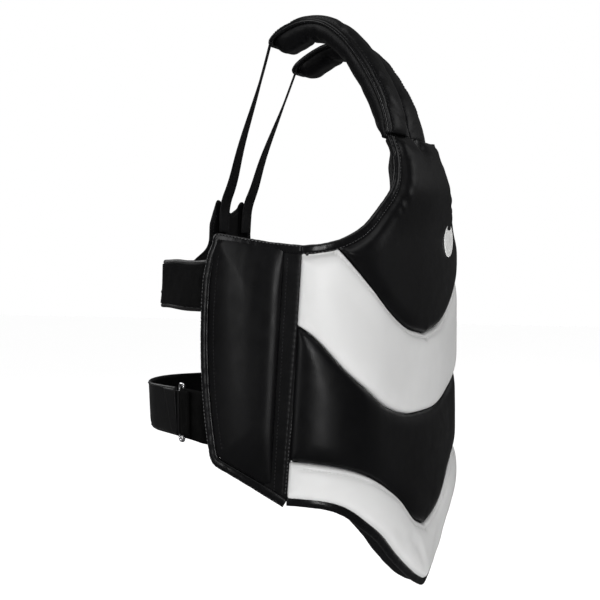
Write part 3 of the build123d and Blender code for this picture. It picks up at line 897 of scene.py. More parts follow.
FOLDS = {                 # start and end as (plan length, height), depth and width of each crease
    "chest_panel": [((0.074, 0.140), (0.062, 0.118), 0.0016, 0.003),
                    ((0.083, 0.120), (0.068, 0.128), 0.0014, 0.003),
                    ((-0.080, 0.126), (-0.064, 0.112), 0.0014, 0.003)],
    "lower_chevron": [((0.105, -0.300), (0.070, -0.325), 0.0010, 0.006),
                      ((0.060, -0.318), (0.022, -0.352), 0.0009, 0.006),
                      ((0.036, -0.330), (0.008, -0.372), 0.0010, 0.005),
                      ((-0.050, -0.320), (-0.014, -0.360), 0.0010, 0.006),
                      ((-0.110, -0.296), (-0.070, -0.330), 0.0009, 0.006)],
    "belly_panel": [((0.200, -0.110), (0.150, -0.170), 0.0007, 0.010),
                    ((-0.200, -0.110), (-0.150, -0.170), 0.0007, 0.010)],
    "upper_chevron": [((0.190, -0.020), (0.130, -0.080), 0.0005, 0.010),
                      ((-0.190, -0.030), (-0.140, -0.070), 0.0005, 0.010)],
}
TOP_STITCHED = {"upper_chevron": V_TOP[0], "lower_chevron": LOW_TOP}


def front_panel(name, material):
    """One of the four stuffed panels of the front."""
    outline = whole(FRONT_HALVES[name])
    edge_line = TOP_STITCHED.get(name)

    def top(flat, edge):
        edge = clear_of_tape(flat, edge)
        reach = 0.018 if name == "chest_panel" else 0.024
        rise = crown(edge, reach, 2.3)
        if name == "chest_panel":
            rise = rise * (0.35 + 0.65 * crown(CHEST_TOP - flat[:, 1], 0.050, 1.8))
        if name == "belly_panel":
            rise = rise * 0.86
        lift = 0.0012 + (PUFF - 0.0012) * rise
        for a, b, depth, width in FOLDS[name]:
            lift = lift + crease(flat, a, b, depth, width) * crown(edge, 0.006)
        if name == "chest_panel":
            for line in both(ARM_LINE):
                lift = lift + gathers(flat, line, 0.015, 0.0026, 0.0085, 4.2, 0.050)
        if name in ("lower_chevron", "belly_panel"):
            for line in both(HEM_LINE):
                lift = lift + gathers(flat, line, 0.015, 0.0010, 0.016, 1.7)
        if edge_line is not None:
            for line in both(edge_line):
                lift = lift - 0.0016 * bell(distance(flat, line)[0] - CHEVRON_STITCH, 0.0018)
        return lift

    piece = soft_pad(name, outline, torso, top, even(-0.0006), material,
                     (0.0015, 0.0038, CHEVRON_STITCH, 0.0088, 0.0125, 0.017),
                     sim=(1.2, 0.0, 0.003))
    fit(piece, "front", "white_leather" if material is WHITE else "black_leather", name)
    if edge_line is not None:
        line = across_middle(distance_inside(edge_line, CHEVRON_STITCH))
        row = stitches(f"{name}_stitching", *surface_line(piece, line, torso), THREAD_WHITE)
        fit(row, "front", "white_leather")


def distance_inside(line, amount):
    """A line moved below itself by an amount."""
    run = unit(np.gradient(line, axis=0))
    return line + amount * np.stack([run[:, 1], -run[:, 0]], -1)


def front_core(name, low, high, inset):
    """A foam sheet inside the front, with eased edges, thinner at the chest."""
    def bottom(flat, edge):
        thinner = 0.004 * ease(flat[:, 1] + 0.010, 0.030)
        return np.minimum(eased(low, 0.002, 0.004)(flat, edge) + thinner, high - 0.001)

    piece = soft_pad(f"{name}_core", inset_outline(whole(FRONT_HALF), inset), torso,
                     eased(high, -0.002, 0.004), bottom,
                     FOAM, rings=FOAM_RINGS, spacing=FOAM_SPACING)
    fit(piece, "front", "foam", name)


def inset_outline(outline, amount):
    """A closed outline moved inward, without the points that would cross."""
    ring, inward = facing_in(outline)
    moved = ring + amount * inward
    return moved[distance(moved, outline, True)[0] > 0.97 * abs(amount)]


def front_lining():
    """The body-side pad: soft foam in nylon, swelling past the binding at the armholes and the groin."""
    outline = inset_outline(whole(FRONT_HALF), 0.001)

    def bottom(flat, edge):
        near = np.where(flat[:, 1] > CHEST_TOP - 0.020, to_edges(flat), edge)
        waist = -0.009 - (-INNER - 0.009) * crown(near, 0.024, 2.2)
        chest = -0.0065 - (-INNER - 0.0065) * crown(near, 0.075, 1.25)
        share = np.clip(flat[:, 1] / 0.03 + 0.5, 0, 1)
        lift = waist + (chest - waist) * share
        for depth, height, width, reach in ((0.002, 0.132, 0.007, 0.010), (-0.0045, 0.108, 0.020, 0.020),
                                            (0.0030, 0.050, 0.020, 0.060)):
            lift = lift + depth * bell(flat[:, 1] - height, width) * crown(near, reach)
        for line in both(ARM_LINE, HEM_LINE):
            lift = lift + gathers(flat, line, 0.012, 0.0024, 0.018, 7.7)
        for z in (-0.06, -0.20):
            lift = lift + 0.006 * bell(flat[:, 1] - z - 0.25 * np.abs(flat[:, 0]), 0.004) * crown(edge, 0.020)
        return lift

    piece = soft_pad("front_lining_pad", outline, torso, even(-0.0045), bottom, LINING, free="bottom",
                     rings=(0.0025, 0.006, 0.011), spacing=SOFT_SPACING,
                     sim=(1.2, 0.002, 0.003))
    fit(piece, "front", "lining", "front_lining")


def binding(name, line, body, node, outward, shift=-0.0024, width=0.0105, hinge=None):
    """Glossy edge tape folded over an edge: a flattened roll with small puckers, and its row of stitches.

    Shift moves it outward, as a number or as heights and values. With a hinge instead of a body, it is hung
    on no body and its placement is baked into its mesh.
    """
    line = resample(line, FINE_STEP)
    centre, across, normal = line_frames(line, torso, EDGE_LIFT)
    across = across * outward
    ripple = 1 + 0.05 * noise_at(centre, 150) + 0.04 * noise_at(centre, 420, 3.0)
    shift = np.interp(line[:, 1], *shift) if isinstance(shift, tuple) else np.full(len(line), shift)
    section = oval(width, EDGE_THICK, 22, 2.6)[None] * np.stack([ripple, 1.6 * ripple - 0.6], -1)[:, None]
    section = section + np.stack([shift, np.zeros(len(line))], -1)[:, None]
    piece = sweep(name, centre, across, normal, section, EDGING)
    fit(piece, None, "binding", node)
    sewn = centre + across * (shift - width * 0.36)[:, None] + normal * (EDGE_THICK * 0.40)
    row = stitches(f"{name}_stitching", sewn, across, normal, THREAD_GREY)
    fit(row, None, "binding")
    for part in (piece, row):
        if hinge:
            across_seam(part, *hinge)
        else:
            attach(part, body)


def badge():
    """The round patch on the left chest: a blank disc with a raised sewn rim."""
    centre_s = -s_at_x(BADGE_AT[0])
    angle = np.linspace(0, 2 * math.pi, 72, endpoint=False)
    ring = np.stack([centre_s + BADGE_RADIUS * np.cos(angle), BADGE_AT[1] + BADGE_RADIUS * np.sin(angle)], -1)
    tree = tree_of(bpy.data.objects["chest_panel"])

    def place(s, z, lift):
        outer = torso(s, z, RAY_START)
        inward = unit(torso(s, z, 0.0) - outer)
        found = np.array([tree.ray_cast(Vector(o), Vector(d))[0] for o, d in zip(outer, inward)])
        return found - inward * np.asarray(lift)[..., None]

    def top(flat, edge):
        return 0.0009 + 0.0006 * bell(edge - 0.0016, 0.0010)

    piece = soft_pad("chest_badge_disc", ring, place, top, even(-0.0006), BADGE,
                     rings=(0.0008, 0.0016, 0.0026), spacing=0.004)
    fit(piece, "front", "badge", "chest_badge")


def make_front():
    """All that rides on the front."""
    front_panel("chest_panel", BLACK)
    front_panel("upper_chevron", WHITE)
    front_panel("belly_panel", BLACK)
    front_panel("lower_chevron", WHITE)
    front_core("front_shock_foam", -0.0040, -0.0012, 0.008)
    front_core("front_body_foam", -0.0165, -0.0085, 0.017)
    front_lining()
    binding("right_armhole_edge", ARM_LINE, "front", "right_armhole_binding", -1, 0.0008)
    binding("left_armhole_edge", mirrored(ARM_LINE), "front", "left_armhole_binding", 1, 0.0008)
    binding("hem_edge", soften(across_middle(HEM_LINE), 0.006), "front", "hem_binding", -1)
    binding("neck_edge", soften(across_middle(NECK_LINE), 0.004), "front", "neck_binding", 1, width=0.008)
    badge()


# ---------------------------------------------------------------- wings
# Heights, and how far outward the edge tape is there.
WING_EDGE_SHIFT = ([-0.02, 0.006, 0.014, 0.020, 0.027], [-0.0046, -0.0015, 0.0008, 0.0028, 0.0030])
# Heights, and how far forward of the side seam the hinge strip starts there.
STRIP_FORWARD = ([-0.263, -0.200, -0.060, 0.014], [-0.0030, -0.0014, 0.0040, 0.0050])
# Distances behind the side seam, and how far the face of the hinge strip stands out there.
STRIP_PROFILE = ([-0.0035, -0.0028, -0.0005, 0.002, 0.0045, 0.014, 0.0195, 0.0265],
                 [0.0006, 0.0014, 0.0016, 0.0002, 0.0010, 0.0008, 0.0012, 0.0004])


def on_side(side):
    """The torso surface of one side, where plan lengths are positive."""
    return lambda s, z, lift: torso(-side * np.asarray(s), z, lift)


def wing_top(side, free, outline):
    """The stuffed face of a wing: round at its free edge and at the hinge band, a little creased."""
    def top(flat, edge):
        near, along = distance(flat, free)
        hinge = distance(flat, outline[len(free):])[0]
        rise = crown(near, 0.055, 1.5) * crown(hinge, 0.020, 2.1)
        lift = 0.0010 + (WING_PUFF - 0.0010) * rise
        lift = lift + 0.0004 * wobble(along / 0.011, 2.0 + side, 0.9) * bell(near - 0.012, 0.007)
        upright = wobble(flat[:, 0] * 150, flat[:, 1] * 9, 5.0 + side)
        broad = wobble(flat[:, 0] * 9, flat[:, 1] * 7, 15.0 + side)
        upper = np.clip((flat[:, 1] + 0.07) / 0.06, 0, 1) * rise
        return lift + 0.0006 * upright * upper + 0.0005 * broad * rise

    return top


def wing_underside(side, free):
    """The soft body side of a wing, puckered beside its free edge."""
    def bottom(flat, edge):
        near, along = distance(flat, free)
        lift = -0.0065 - (-WING_INNER - 0.0065) * crown(edge, 0.014, 2.2)
        return lift + 0.0012 * wobble(along / 0.016, 6.0 + side, 0.2) * bell(near - 0.012, 0.008)

    return bottom


def wing(hand, side):
    """A wing: hinge band, stuffed cover, foam, lining, edge tape and stitching."""
    body = f"{hand}_wing"
    place = on_side(side)
    free, outline = wing_outline(0.0)
    cover_free, cover = wing_outline(BAND_WIDTH)

    piece = soft_pad(f"{hand}_wing_pad", inset_outline(cover, 0.0004), place,
                     wing_top(side, cover_free, cover), even(-0.0020), BLACK,
                     (0.0015, 0.004, 0.0085, 0.0115, 0.0155, 0.020),
                     sim=(1.0, 0.0, 0.002))
    fit(piece, body, "black_leather", f"{hand}_wing_cover")

    core = soft_pad(f"{hand}_wing_foam_core", inset_outline(outline, 0.010), place,
                    even(-0.0030), eased(-0.0125, 0.002, 0.004),
                    FOAM, FOAM_RINGS, spacing=FOAM_SPACING)
    fit(core, body, "foam", f"{hand}_wing_foam")

    lining = soft_pad(f"{hand}_wing_lining_pad", inset_outline(outline, 0.0034), place,
                      even(-0.0035), wing_underside(side, free), LINING, (0.002, 0.005, 0.009),
                      free="bottom", spacing=SOFT_SPACING, sim=(1.0, 0.0, 0.002))
    fit(lining, body, "lining", f"{hand}_wing_lining")

    binding(f"{hand}_wing_edge", mirrored(free) if side > 0 else free, None, f"{hand}_wing_binding",
            side, WING_EDGE_SHIFT, hinge=(hand, side))
    rear = free[(free[:, 1] < 0.012) & (free[:, 1] > -0.215) & (free[:, 0] > 0.30)]
    inner_row = distance_inside(rear, 0.0102)
    row = stitches(f"{hand}_wing_rear_stitching", *surface_line(piece, inner_row, place), THREAD_BLACK)
    fit(row, body, "black_leather")
    hinge_band(hand, side, place)


def hinge_band(hand, side, place):
    """The flat leather strip over the side seam, where the wing hinges, with a stitched fold at each edge."""
    z = np.linspace(-0.2622, 0.0135, 111)
    seam = np.interp(z, SEAM[:, 1], SEAM[:, 0])
    offsets = np.concatenate([[-0.0035, -0.0028], np.linspace(-0.002, 0.0265, 22)])
    forward = np.interp(z, *STRIP_FORWARD)
    s = seam[:, None] + offsets[None] - forward[:, None] * np.interp(offsets, [0.0, 0.008], [1, 0])[None]
    height = np.interp(offsets, *STRIP_PROFILE)
    low = z[0] + 0.50 * np.maximum(offsets, 0)
    high = z[-1] + 0.06 * np.maximum(offsets, 0)
    zz = low + (high - low) * np.linspace(0, 1, len(z))[:, None]
    lift = height[None] + 0.0003 * np.sin(z * 900)[:, None] * bell(offsets - 0.004, 0.004)[None]
    upper = place(s, zz, lift)
    lower = place(s, zz, np.full(s.shape, -0.0024))
    rows, columns = s.shape
    points = np.vstack([upper.reshape(-1, 3), lower.reshape(-1, 3)])
    faces = []
    under = rows * columns
    for i in range(rows - 1):
        for a in range(i * columns, i * columns + columns - 1):
            quad = (a, a + 1, a + columns + 1, a + columns)
            faces += [quad, tuple(under + k for k in quad[::-1])]
    rim = (list(range(columns)) + [i * columns + columns - 1 for i in range(1, rows)]
           + [(rows - 1) * columns + j for j in range(columns - 2, -1, -1)]
           + [i * columns for i in range(rows - 2, 0, -1)])
    for a, b in zip(rim, rim[1:] + rim[:1]):
        faces.append((b, a, under + a, under + b))
    out = np.cross(upper[0, 1] - upper[0, 0], upper[1, 0] - upper[0, 0])
    if out @ (upper[0, 0] - lower[0, 0]) < 0:
        faces = [f[::-1] for f in faces]
    band = add_mesh(f"{hand}_hinge_strip", points, faces, BLACK)
    across_seam(band, hand, side)
    fit(band, None, "black_leather", f"{hand}_hinge_band")
    for label, behind, thread in (("front", -0.0008, THREAD_GREY), ("rear", 0.0150, THREAD_BLACK)):
        line = np.stack([seam + behind - forward * (behind < 0), z], -1)[2:-2]
        row = stitches(f"{hand}_hinge_{label}_stitching", *surface_line(band, line, place), thread)
        across_seam(row, hand, side)


def across_seam(piece, hand, side):
    """Bakes the placement of a piece that lies between the front and a wing, across the side seam, into its
    mesh.
    """
    joint = joint_where("name", f"{hand}_wing_swing")
    axis = unit(np.array(joint["axis"], float))
    pivot = np.array(joint["pos_m"], float)
    s = np.interp(pivot[2], SEAM[:, 1], SEAM[:, 0])
    place = on_side(side)
    run = (place(np.array([s + 0.001]), pivot[2], 0.0) - place(np.array([s - 0.001]), pivot[2], 0.0))[0]
    run = unit(run - (run @ axis) * axis)
    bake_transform(piece)


# ---------------------------------------------------------------- shoulder straps
HALF_RUN = (SHOULDER_PLAN[1] - SHOULDER_PLAN[0]) / 2
BOW = SHOULDER_X[1] - SHOULDER_X[0]
BOW_RADIUS = (HALF_RUN**2 + BOW**2) / (2 * BOW)
BOW_MIDDLE = (SHOULDER_PLAN[0] + SHOULDER_PLAN[1]) / 2
STRAP_RINGS = (0.0015, 0.004, 0.0075, 0.0115)
STRAP_SPACING = 0.0045
# Creases across the straps: length along the strap, slope and depth.
TOP_CREASES = ((0.020, 0.4, 0.0014), (0.150, -0.5, 0.0012), (0.205, 0.5, 0.0016))
UNDER_CREASES = ((0.165, 0.3, 0.0045), (0.190, -0.2, 0.0030), (0.110, 0.2, 0.0015))


def strap_path(hand):
    """Side view of a shoulder strap, from its root to its rear end."""
    base_y, lean, runs = SHOULDERS[hand]
    path = Path((base_y, SHOULDER_BASE), 90.0 - lean, runs)
    path.length -= STRAP_SHORT[hand]
    return path


def strap_surface(hand, side):
    """A shoulder strap as a surface: t along it, w across it, positive to the arm, and lift."""
    path = strap_path(hand)

    def place(t, w, lift):
        t, w = np.asarray(t, float), np.asarray(w, float)
        if hand == "right":
            lift = lift - 0.0042 * bell(t - 0.075, 0.060) - 0.0085 * ease(t - 0.115, 0.100)
            inward = 0.0
        else:
            lift = lift - 0.0092 * bell(t - 0.068, 0.080)
            inward = 0.010 * np.clip((0.300 - t) / 0.150, 0, 1)
        y, z = path.at(t, lift)
        y_mid, _ = path.at(t, 0.0)
        x = SHOULDER_X[1] - BOW_RADIUS + np.sqrt(BOW_RADIUS**2 - (y_mid - BOW_MIDDLE) ** 2)
        return np.stack([side * (x + w - inward), y, z], -1)

    return path, place


def strap_outline(path, inset, start=-0.0022, tip=0.016):
    """The outline of a strap, with a rounded rear end."""
    half = SHOULDER_WIDTH / 2 - inset
    end = path.length - inset
    angle = np.linspace(0, math.pi / 2, 8)
    corner = np.stack([end - tip + tip * np.sin(angle), half - tip + tip * np.cos(angle)], -1)
    side_line = resample(np.array([[start, half], corner[0]]))
    end_line = resample(np.array([corner[-1], corner[-1] * (1, -1)]))
    upper = chain(side_line, corner, end_line)
    under = (corner * (1, -1))[::-1]
    back = resample(np.array([under[-1], [start, -half]]))
    base = resample(np.array([[start, -half], [start, half]]))
    return chain(upper, under, back, base)[:-1]


def from_sides(flat, edge):
    """Distance to the edge of a strap, or only to its long sides where it leaves the chest."""
    return np.where(flat[:, 0] < 0.012, SHOULDER_WIDTH / 2 - np.abs(flat[:, 1]), edge)


def strap_top(hand, side):
    """The crowned outer face of a shoulder strap, with small creases across it."""
    puff = SHOULDER_PUFF if hand == "right" else 0.007

    def top(flat, edge):
        near = from_sides(flat, edge)
        t, w = flat[:, 0], flat[:, 1]
        full = puff * (0.55 + 0.45 * crown(t, 0.040))
        lift = 0.0010 + (full - 0.0010) * crown(near, 0.024, 2.0)
        lift = (lift + 0.0012 * wobble(t / 0.035, w / 0.05, 8.0 + side) * crown(near, 0.012)
                + 0.0010 * wobble(t / 0.012, np.sign(w) * 3, 1.0 + side) * bell(near - 0.010, 0.006))
        for t0, slope, depth in TOP_CREASES:
            lift = lift - depth * bell(t - t0 - slope * w, 0.004) * crown(near, 0.010)
        return lift

    return top


def strap_underside(hand, side):
    """The soft body side of a shoulder strap, with deeper creases across it."""
    deep = SHOULDER_INNER if hand == "right" else -0.019

    def bottom(flat, edge):
        near = from_sides(flat, edge)
        t, w = flat[:, 0], flat[:, 1]
        lift = -0.0040 + (deep + 0.0040) * crown(near, 0.022, 2.2) * (0.55 + 0.45 * crown(t, 0.030))
        for t0, slope, depth in UNDER_CREASES:
            lift = lift + depth * bell(t - t0 - slope * w, 0.0045) * crown(near, 0.010)
        return lift + 0.0020 * wobble(t / 0.016, np.sign(w) * 2, 3.0 + side) * bell(near - 0.010, 0.008)

    return bottom


def shoulder(hand, side):
    """A shoulder strap: crowned cover, foam, body-side pad, and piping with its stitching."""
    path, place = strap_surface(hand, side)

    cover = soft_pad(f"{hand}_strap_cover", strap_outline(path, 0.0012), place, strap_top(hand, side),
                     even(-0.0008), BLACK, STRAP_RINGS, spacing=STRAP_SPACING,
                     sim=(1.2, 0.003, 0.002))
    fit(cover, None, "black_leather", f"{hand}_shoulder_cover")

    pad = soft_pad(f"{hand}_strap_pad", strap_outline(path, 0.0008, -0.0070, 0.020), place,
                   even(-0.0020), strap_underside(hand, side), BLACK, STRAP_RINGS,
                   free="bottom", spacing=STRAP_SPACING, sim=(1.2, 0.004, 0.003))
    fit(pad, None, "lining", f"{hand}_shoulder_lining")

    core = soft_pad(f"{hand}_strap_foam_core", strap_outline(path, 0.007, 0.004), place,
                    even(-0.0030), eased(-0.0120, 0.003, 0.005),
                    FOAM, FOAM_RINGS, spacing=0.010)
    fit(core, None, "foam", f"{hand}_shoulder_foam")

    rim = strap_outline(path, -0.0010, tip=0.017)
    base = int(np.argmax((rim[:, 0] < -0.0021) & (rim[:, 1] < 0)))
    line = resample(rim[:base + 1], FINE_STEP)
    centre, across, normal = line_frames(line, place, -0.0006)
    ripple = 1 + 0.05 * noise_at(centre, 160)
    section = oval(0.0062, 0.0058, 16, 2.2)[None] * ripple[:, None, None]
    piping = sweep(f"{hand}_strap_piping", centre, across, normal, section, EDGING)
    fit(piping, None, "binding", f"{hand}_shoulder_piping")
    inner = resample(strap_outline(path, 0.0046, 0.004, tip=0.013)[:-14], FINE_STEP)
    row = stitches(f"{hand}_strap_stitching", *surface_line(cover, inner, place), THREAD_BLACK)
    x, y, z = Vector(joint_where("name", f"{hand}_shoulder_fold")["pos_m"])
    for piece in (cover, pad, core, piping, row):
        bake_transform(piece)


# ---------------------------------------------------------------- webbing, yoke and back straps
def ribbon_section(width, thick, hem=0.0, hem_width=0.004):
    """A flat strap's section with round edges and, where sewn, slightly raised hems."""
    across = np.linspace(-1, 1, 15)
    across = np.sign(across) * np.abs(across) ** 0.85 * (width / 2 - thick / 2)
    raise_by = hem * np.exp(-((width / 2 - np.abs(across)) / hem_width) ** 4)
    upper = np.stack([across, thick / 2 + raise_by], -1)
    angle = np.linspace(math.pi / 2, -math.pi / 2, 7)[1:-1]
    right = np.stack([width / 2 - thick / 2 + thick / 2 * np.cos(angle), thick / 2 * np.sin(angle)], -1)
    lower = np.stack([across[::-1], -thick / 2 - raise_by], -1)
    left = right[::-1] * (-1, 1)
    return np.vstack([upper, right, lower, left])


def upper_lean(s, height):
    """How far the upper strap's face stands off its path: its foot swings out on the right of the back."""
    return bell(s - 0.160, 0.075) * (-0.16 * height + 3.2 * (height**2 - 0.0003))


def lower_lean(s, height):
    """How far the lower belt's face stands off its path: its foot curls in on the right of the back."""
    curl = np.maximum(-0.018 - height, 0.0)
    return bell(s - 0.190, 0.080) * (0.0045 + 0.05 * height - 30.0 * curl**2)


def no_lean(s, height):
    """No lean."""
    return 0.0 * s * height


def ribbon(name, path, a, b, middle, width, thick, material, lift=0.0, hem=0.0, wave=0.0, seed=0.0,
           round_end=0.0, lean=no_lean, slant=0.0):
    """A strap that stands on its edge along a path."""
    count = max(3, int((b - a) / 0.003))
    s = np.linspace(a, b, count)
    x, y = path.at(s, lift)
    x2, y2 = path.at(s, lift + 0.001)
    normal = unit(np.stack([x2 - x, y2 - y, np.zeros(count)], -1))
    centre = np.stack([x, y, middle + wave * wobble(s * 12, seed, 0.5)], -1)
    up = np.broadcast_to((0.0, 0.0, 1.0), centre.shape)
    section = np.repeat(ribbon_section(width, thick, hem)[None], count, axis=0)
    ripple = wave * 0.35 * wobble(s[:, None] * 22, section[..., 0] * 30, seed)
    section[..., 1] += ripple + lean(s[:, None], section[..., 0])
    if round_end:
        shrink = np.ones(count)
        near = (s - a) < round_end
        shrink[near] = 1 - 0.18 * (1 - (s[near] - a) / round_end) ** 2
        section[..., 0] *= shrink[:, None]
    piece = sweep(name, centre, up, normal, section, material)
    if slant:
        shear(piece, path, middle, slant, a, b)
    return piece


def shear(piece, path, middle, slant, a, b):
    """Slants the far end of a flap, more at its foot, along its path."""
    ax, ay = path.at(a)
    bx, by = path.at(b)
    for vertex in piece.data.vertices:
        x, y, z = vertex.co
        share = math.hypot(x - ax, y - ay) / math.hypot(bx - ax, by - ay)
        back = slant * min(max((middle - z) / STRAP_WIDTH + 0.5, 0.0), 1.0) * min(share, 1.0)
        vertex.co = (x + (ax - bx) * back, y + (ay - by) * back, z)


def web_path(hand):
    """Side view of a webbing, from the padded end down to the yoke."""
    path = strap_path(hand)
    root = [float(v) for v in path.at(path.length - 0.002, -0.0075 if hand == "right" else -0.004)]
    return rounded([tuple(root), (WEB_Y, WEB_ELBOW), (WEB_Y, WEB_END)], [WEB_BEND])


def webbing(hand, side):
    """A webbing, turned a little where it leaves the strap, and the hook patch on its end."""
    path = web_path(hand)
    s = np.linspace(0, path.length, 110)
    y, z = path.at(s)
    y2, z2 = path.at(s, 0.001)
    normal = unit(np.stack([np.zeros(len(s)), y2 - y, z2 - z], -1))
    share = s / path.length
    low = bell(share - 0.76, 0.16)
    x = side * (WEB_X + (0.041 if side < 0 else -0.005) * (1 - share) ** 1.5 + side * 0.007 * low)
    centre = np.stack([x + 0.0008 * np.sin(share * 9), y, z], -1)
    turn = math.radians(25) * np.clip(1.35 - share * 1.7, 0, 1)
    flat = np.broadcast_to((1.0, 0.0, 0.0), centre.shape)
    outward = normal * np.where(normal[:, 1:2] > 0, 1.0, -1.0)
    across = flat * np.cos(turn)[:, None] + outward * np.sin(turn)[:, None]
    facing = (outward * np.cos(turn)[:, None] - flat * np.sin(turn)[:, None]) * np.sign(normal[:, 1:2])
    body = f"{hand}_webbing"
    piece = sweep(f"{hand}_web_strap", centre, across, facing,
                  ribbon_section(WEB_WIDTH, WEB_THICK, 0.0002, 0.002), WEBBING)
    fit(piece, body, "webbing", f"{hand}_webbing")
    tail = s > path.length - 0.026
    for name, offset in (("left", -0.4), ("right", 0.4)):
        line = centre[tail] + across[tail] * WEB_WIDTH * offset - facing[tail] * WEB_THICK * 0.55
        row = stitches(f"{hand}_web_{name}_stitching", line, across[tail], -facing[tail], THREAD_BLACK)
        fit(row, body, "webbing")
    hook_centre = centre[tail] + facing[tail] * (WEB_THICK / 2 + PATCH / 2)
    patch = sweep(f"{hand}_web_hook_patch", hook_centre, across[tail], facing[tail],
                  ribbon_section(WEB_WIDTH - 0.002, PATCH - 0.0002), HOOK)
    fit(patch, body, "hook_tape", f"{hand}_webbing_hook_patch")


UPPER = rounded([TIP, RIGHT_CORNER, UPPER_APEX, LEFT_CORNER, ROOT], [SIDE_BEND, UPPER_BOW, SIDE_BEND])
LOWER = rounded([TIP, RIGHT_CORNER, LOWER_APEX, LEFT_CORNER, ROOT], [SIDE_BEND, LOWER_BOW, SIDE_BEND])


def strap_root_blend(piece, body):
    """Bakes a strap's placement into its mesh, where it leaves the left wing."""
    x, y, z = joint_where("child", body)["pos_m"]
    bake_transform(piece)


def upper_strap():
    """The upper back strap: hemmed cloth, hook patch at its tip and a long loop field round the back."""
    strap = ribbon("upper_back_strap", UPPER, 0.0, UPPER.length, UPPER_MID, STRAP_WIDTH, STRAP_THICK, BLACK,
                   hem=0.0004, wave=STRAP_WAVE, round_end=0.02, lean=upper_lean)
    strap_root_blend(strap, "upper_strap")
    fit(strap, None, "strap_fabric", "upper_strap")
    for label, (a, b), material, node, slot in (
            ("hook_tip", HOOK_ON_STRAP, HOOK, "upper_strap_hook_patch", "hook_tape"),
            ("loop_field", LOOP_FIELD, LOOP, "upper_strap_loop_field", "loop_tape")):
        piece = ribbon(f"upper_strap_{label}", UPPER, a, b, UPPER_MID, STRAP_WIDTH - 0.010, PATCH, material,
                       lift=STRAP_THICK / 2 + PATCH / 2, wave=STRAP_WAVE, lean=upper_lean)
        fit(piece, "upper_strap", slot, node)
    strap_stitching("upper_strap", UPPER, 0.004, UPPER_MID, upper_lean)


def strap_stitching(body, path, start, middle, lean):
    """Rows of stitches along both edges of a strap's outer face."""
    s = np.arange(start, path.length - 0.022, 0.003)
    half = STRAP_THICK / 2
    x, y = path.at(s, half + 0.0004)
    x2, y2 = path.at(s, half + 0.0014)
    normal = unit(np.stack([x2 - x, y2 - y, np.zeros(len(s))], -1))
    up = np.broadcast_to((0.0, 0.0, 1.0), normal.shape)
    for label, height in (("top", STRAP_WIDTH / 2 - 0.0032), ("foot", 0.0032 - STRAP_WIDTH / 2)):
        centre = np.stack([x, y, np.full(len(s), middle + height)], -1) + normal * lean(s, height)[:, None]
        row = stitches(f"{body}_{label}_stitching", centre, up, normal, THREAD_BLACK)
        fit(row, body, "black_leather")


def sleeve_shape(bar):
    """Points and faces of a slightly ridged sleeve round a bar of the ring."""
    angle = np.linspace(0, 2 * math.pi, SLEEVE_AROUND, endpoint=False)
    heights = np.linspace(-SLEEVE_HEIGHT / 2, SLEEVE_HEIGHT / 2, SLEEVE_ROWS)
    waves = np.sin(heights[:, None] * 700 + 2 * np.sin(angle)[None])
    outer = SLEEVE_OUTER * (1 + 0.05 * waves * np.cos(angle / 2)[None] ** 2)
    inner = np.full_like(outer, SLEEVE_BORE)
    x, y = (float(v) for v in LOWER.at(bar))
    points, faces = [], []
    for height, *radii in zip(heights, outer, inner):
        for radius in radii:
            points += [(x + math.cos(a) * r, y + math.sin(a) * r, LOWER_MID + height)
                       for a, r in zip(angle, radius)]
    row = 2 * SLEEVE_AROUND
    for i in range(SLEEVE_ROWS):
        for k in range(SLEEVE_AROUND):
            a, b = i * row + k, i * row + (k + 1) % SLEEVE_AROUND
            c, d = a + SLEEVE_AROUND, b + SLEEVE_AROUND
            if i < SLEEVE_ROWS - 1:
                faces += [(a, b, b + row, a + row), (d, c, c + row, d + row)]
            if i == 0:
                faces.append((c, d, b, a))
            if i == SLEEVE_ROWS - 1:
                faces.append((a, b, d, c))
    return points, faces


def sleeve_belt(name, a, b, bar, body):
    """A lower strap whose end is folded round one bar of the ring and sewn down: the belt or the tab."""
    belt = body == "lower_belt"
    material, slot = (BLACK, "black_leather") if belt else (HOOK, "webbing")
    leather_piece = ribbon(f"{name}_leather", LOWER, a, b, LOWER_MID, STRAP_WIDTH, STRAP_THICK, material,
                           hem=0.0005, wave=STRAP_WAVE, seed=4.0, lean=lower_lean)
    if belt:
        strap_root_blend(leather_piece, body)
    fit(leather_piece, None if belt else body, slot, body)
    sleeve = add_mesh(f"{name}_sleeve", *sleeve_shape(bar), material)
    fit(sleeve, body, slot)
    flap_from, flap_to = (bar + 0.002, bar + 0.034) if belt else (bar - 0.026, bar - 0.002)
    flap = ribbon(f"{name}_folded_end", LOWER, flap_from, flap_to, LOWER_MID, STRAP_WIDTH - 0.005, 0.0016,
                  material, lift=STRAP_THICK / 2 + 0.0014, hem=0.0002, wave=STRAP_WAVE, seed=4.0,
                  lean=lower_lean, slant=0.75 if belt else 0.0)
    fit(flap, body, slot)


def lower_straps():
    """The lower belt with its ring, and the hook tab."""
    wall = (SLEEVE_OUTER - SLEEVE_BORE) / 2
    sleeve_belt("lower_belt", BELT_BAR + SLEEVE_BORE + wall, LOWER.length, BELT_BAR, "lower_belt")
    sleeve_belt("hook_tab", 0.0, TAB_BAR - SLEEVE_BORE - wall, TAB_BAR, "lower_tab")
    strap_stitching("lower_belt", LOWER, BELT_BAR + 0.010, LOWER_MID, lower_lean)
    hook = ribbon("hook_tab_patch", LOWER, *HOOK_ON_STRAP, LOWER_MID, STRAP_WIDTH - 0.010, PATCH, HOOK,
                  lift=STRAP_THICK / 2 + PATCH / 2)
    fit(hook, "lower_tab", "hook_tape", "lower_tab_hook_patch")
    for slot in frame["nodes"]["belt_ring"].material_slots:
        slot.link = "OBJECT"
        slot.material = CHROME


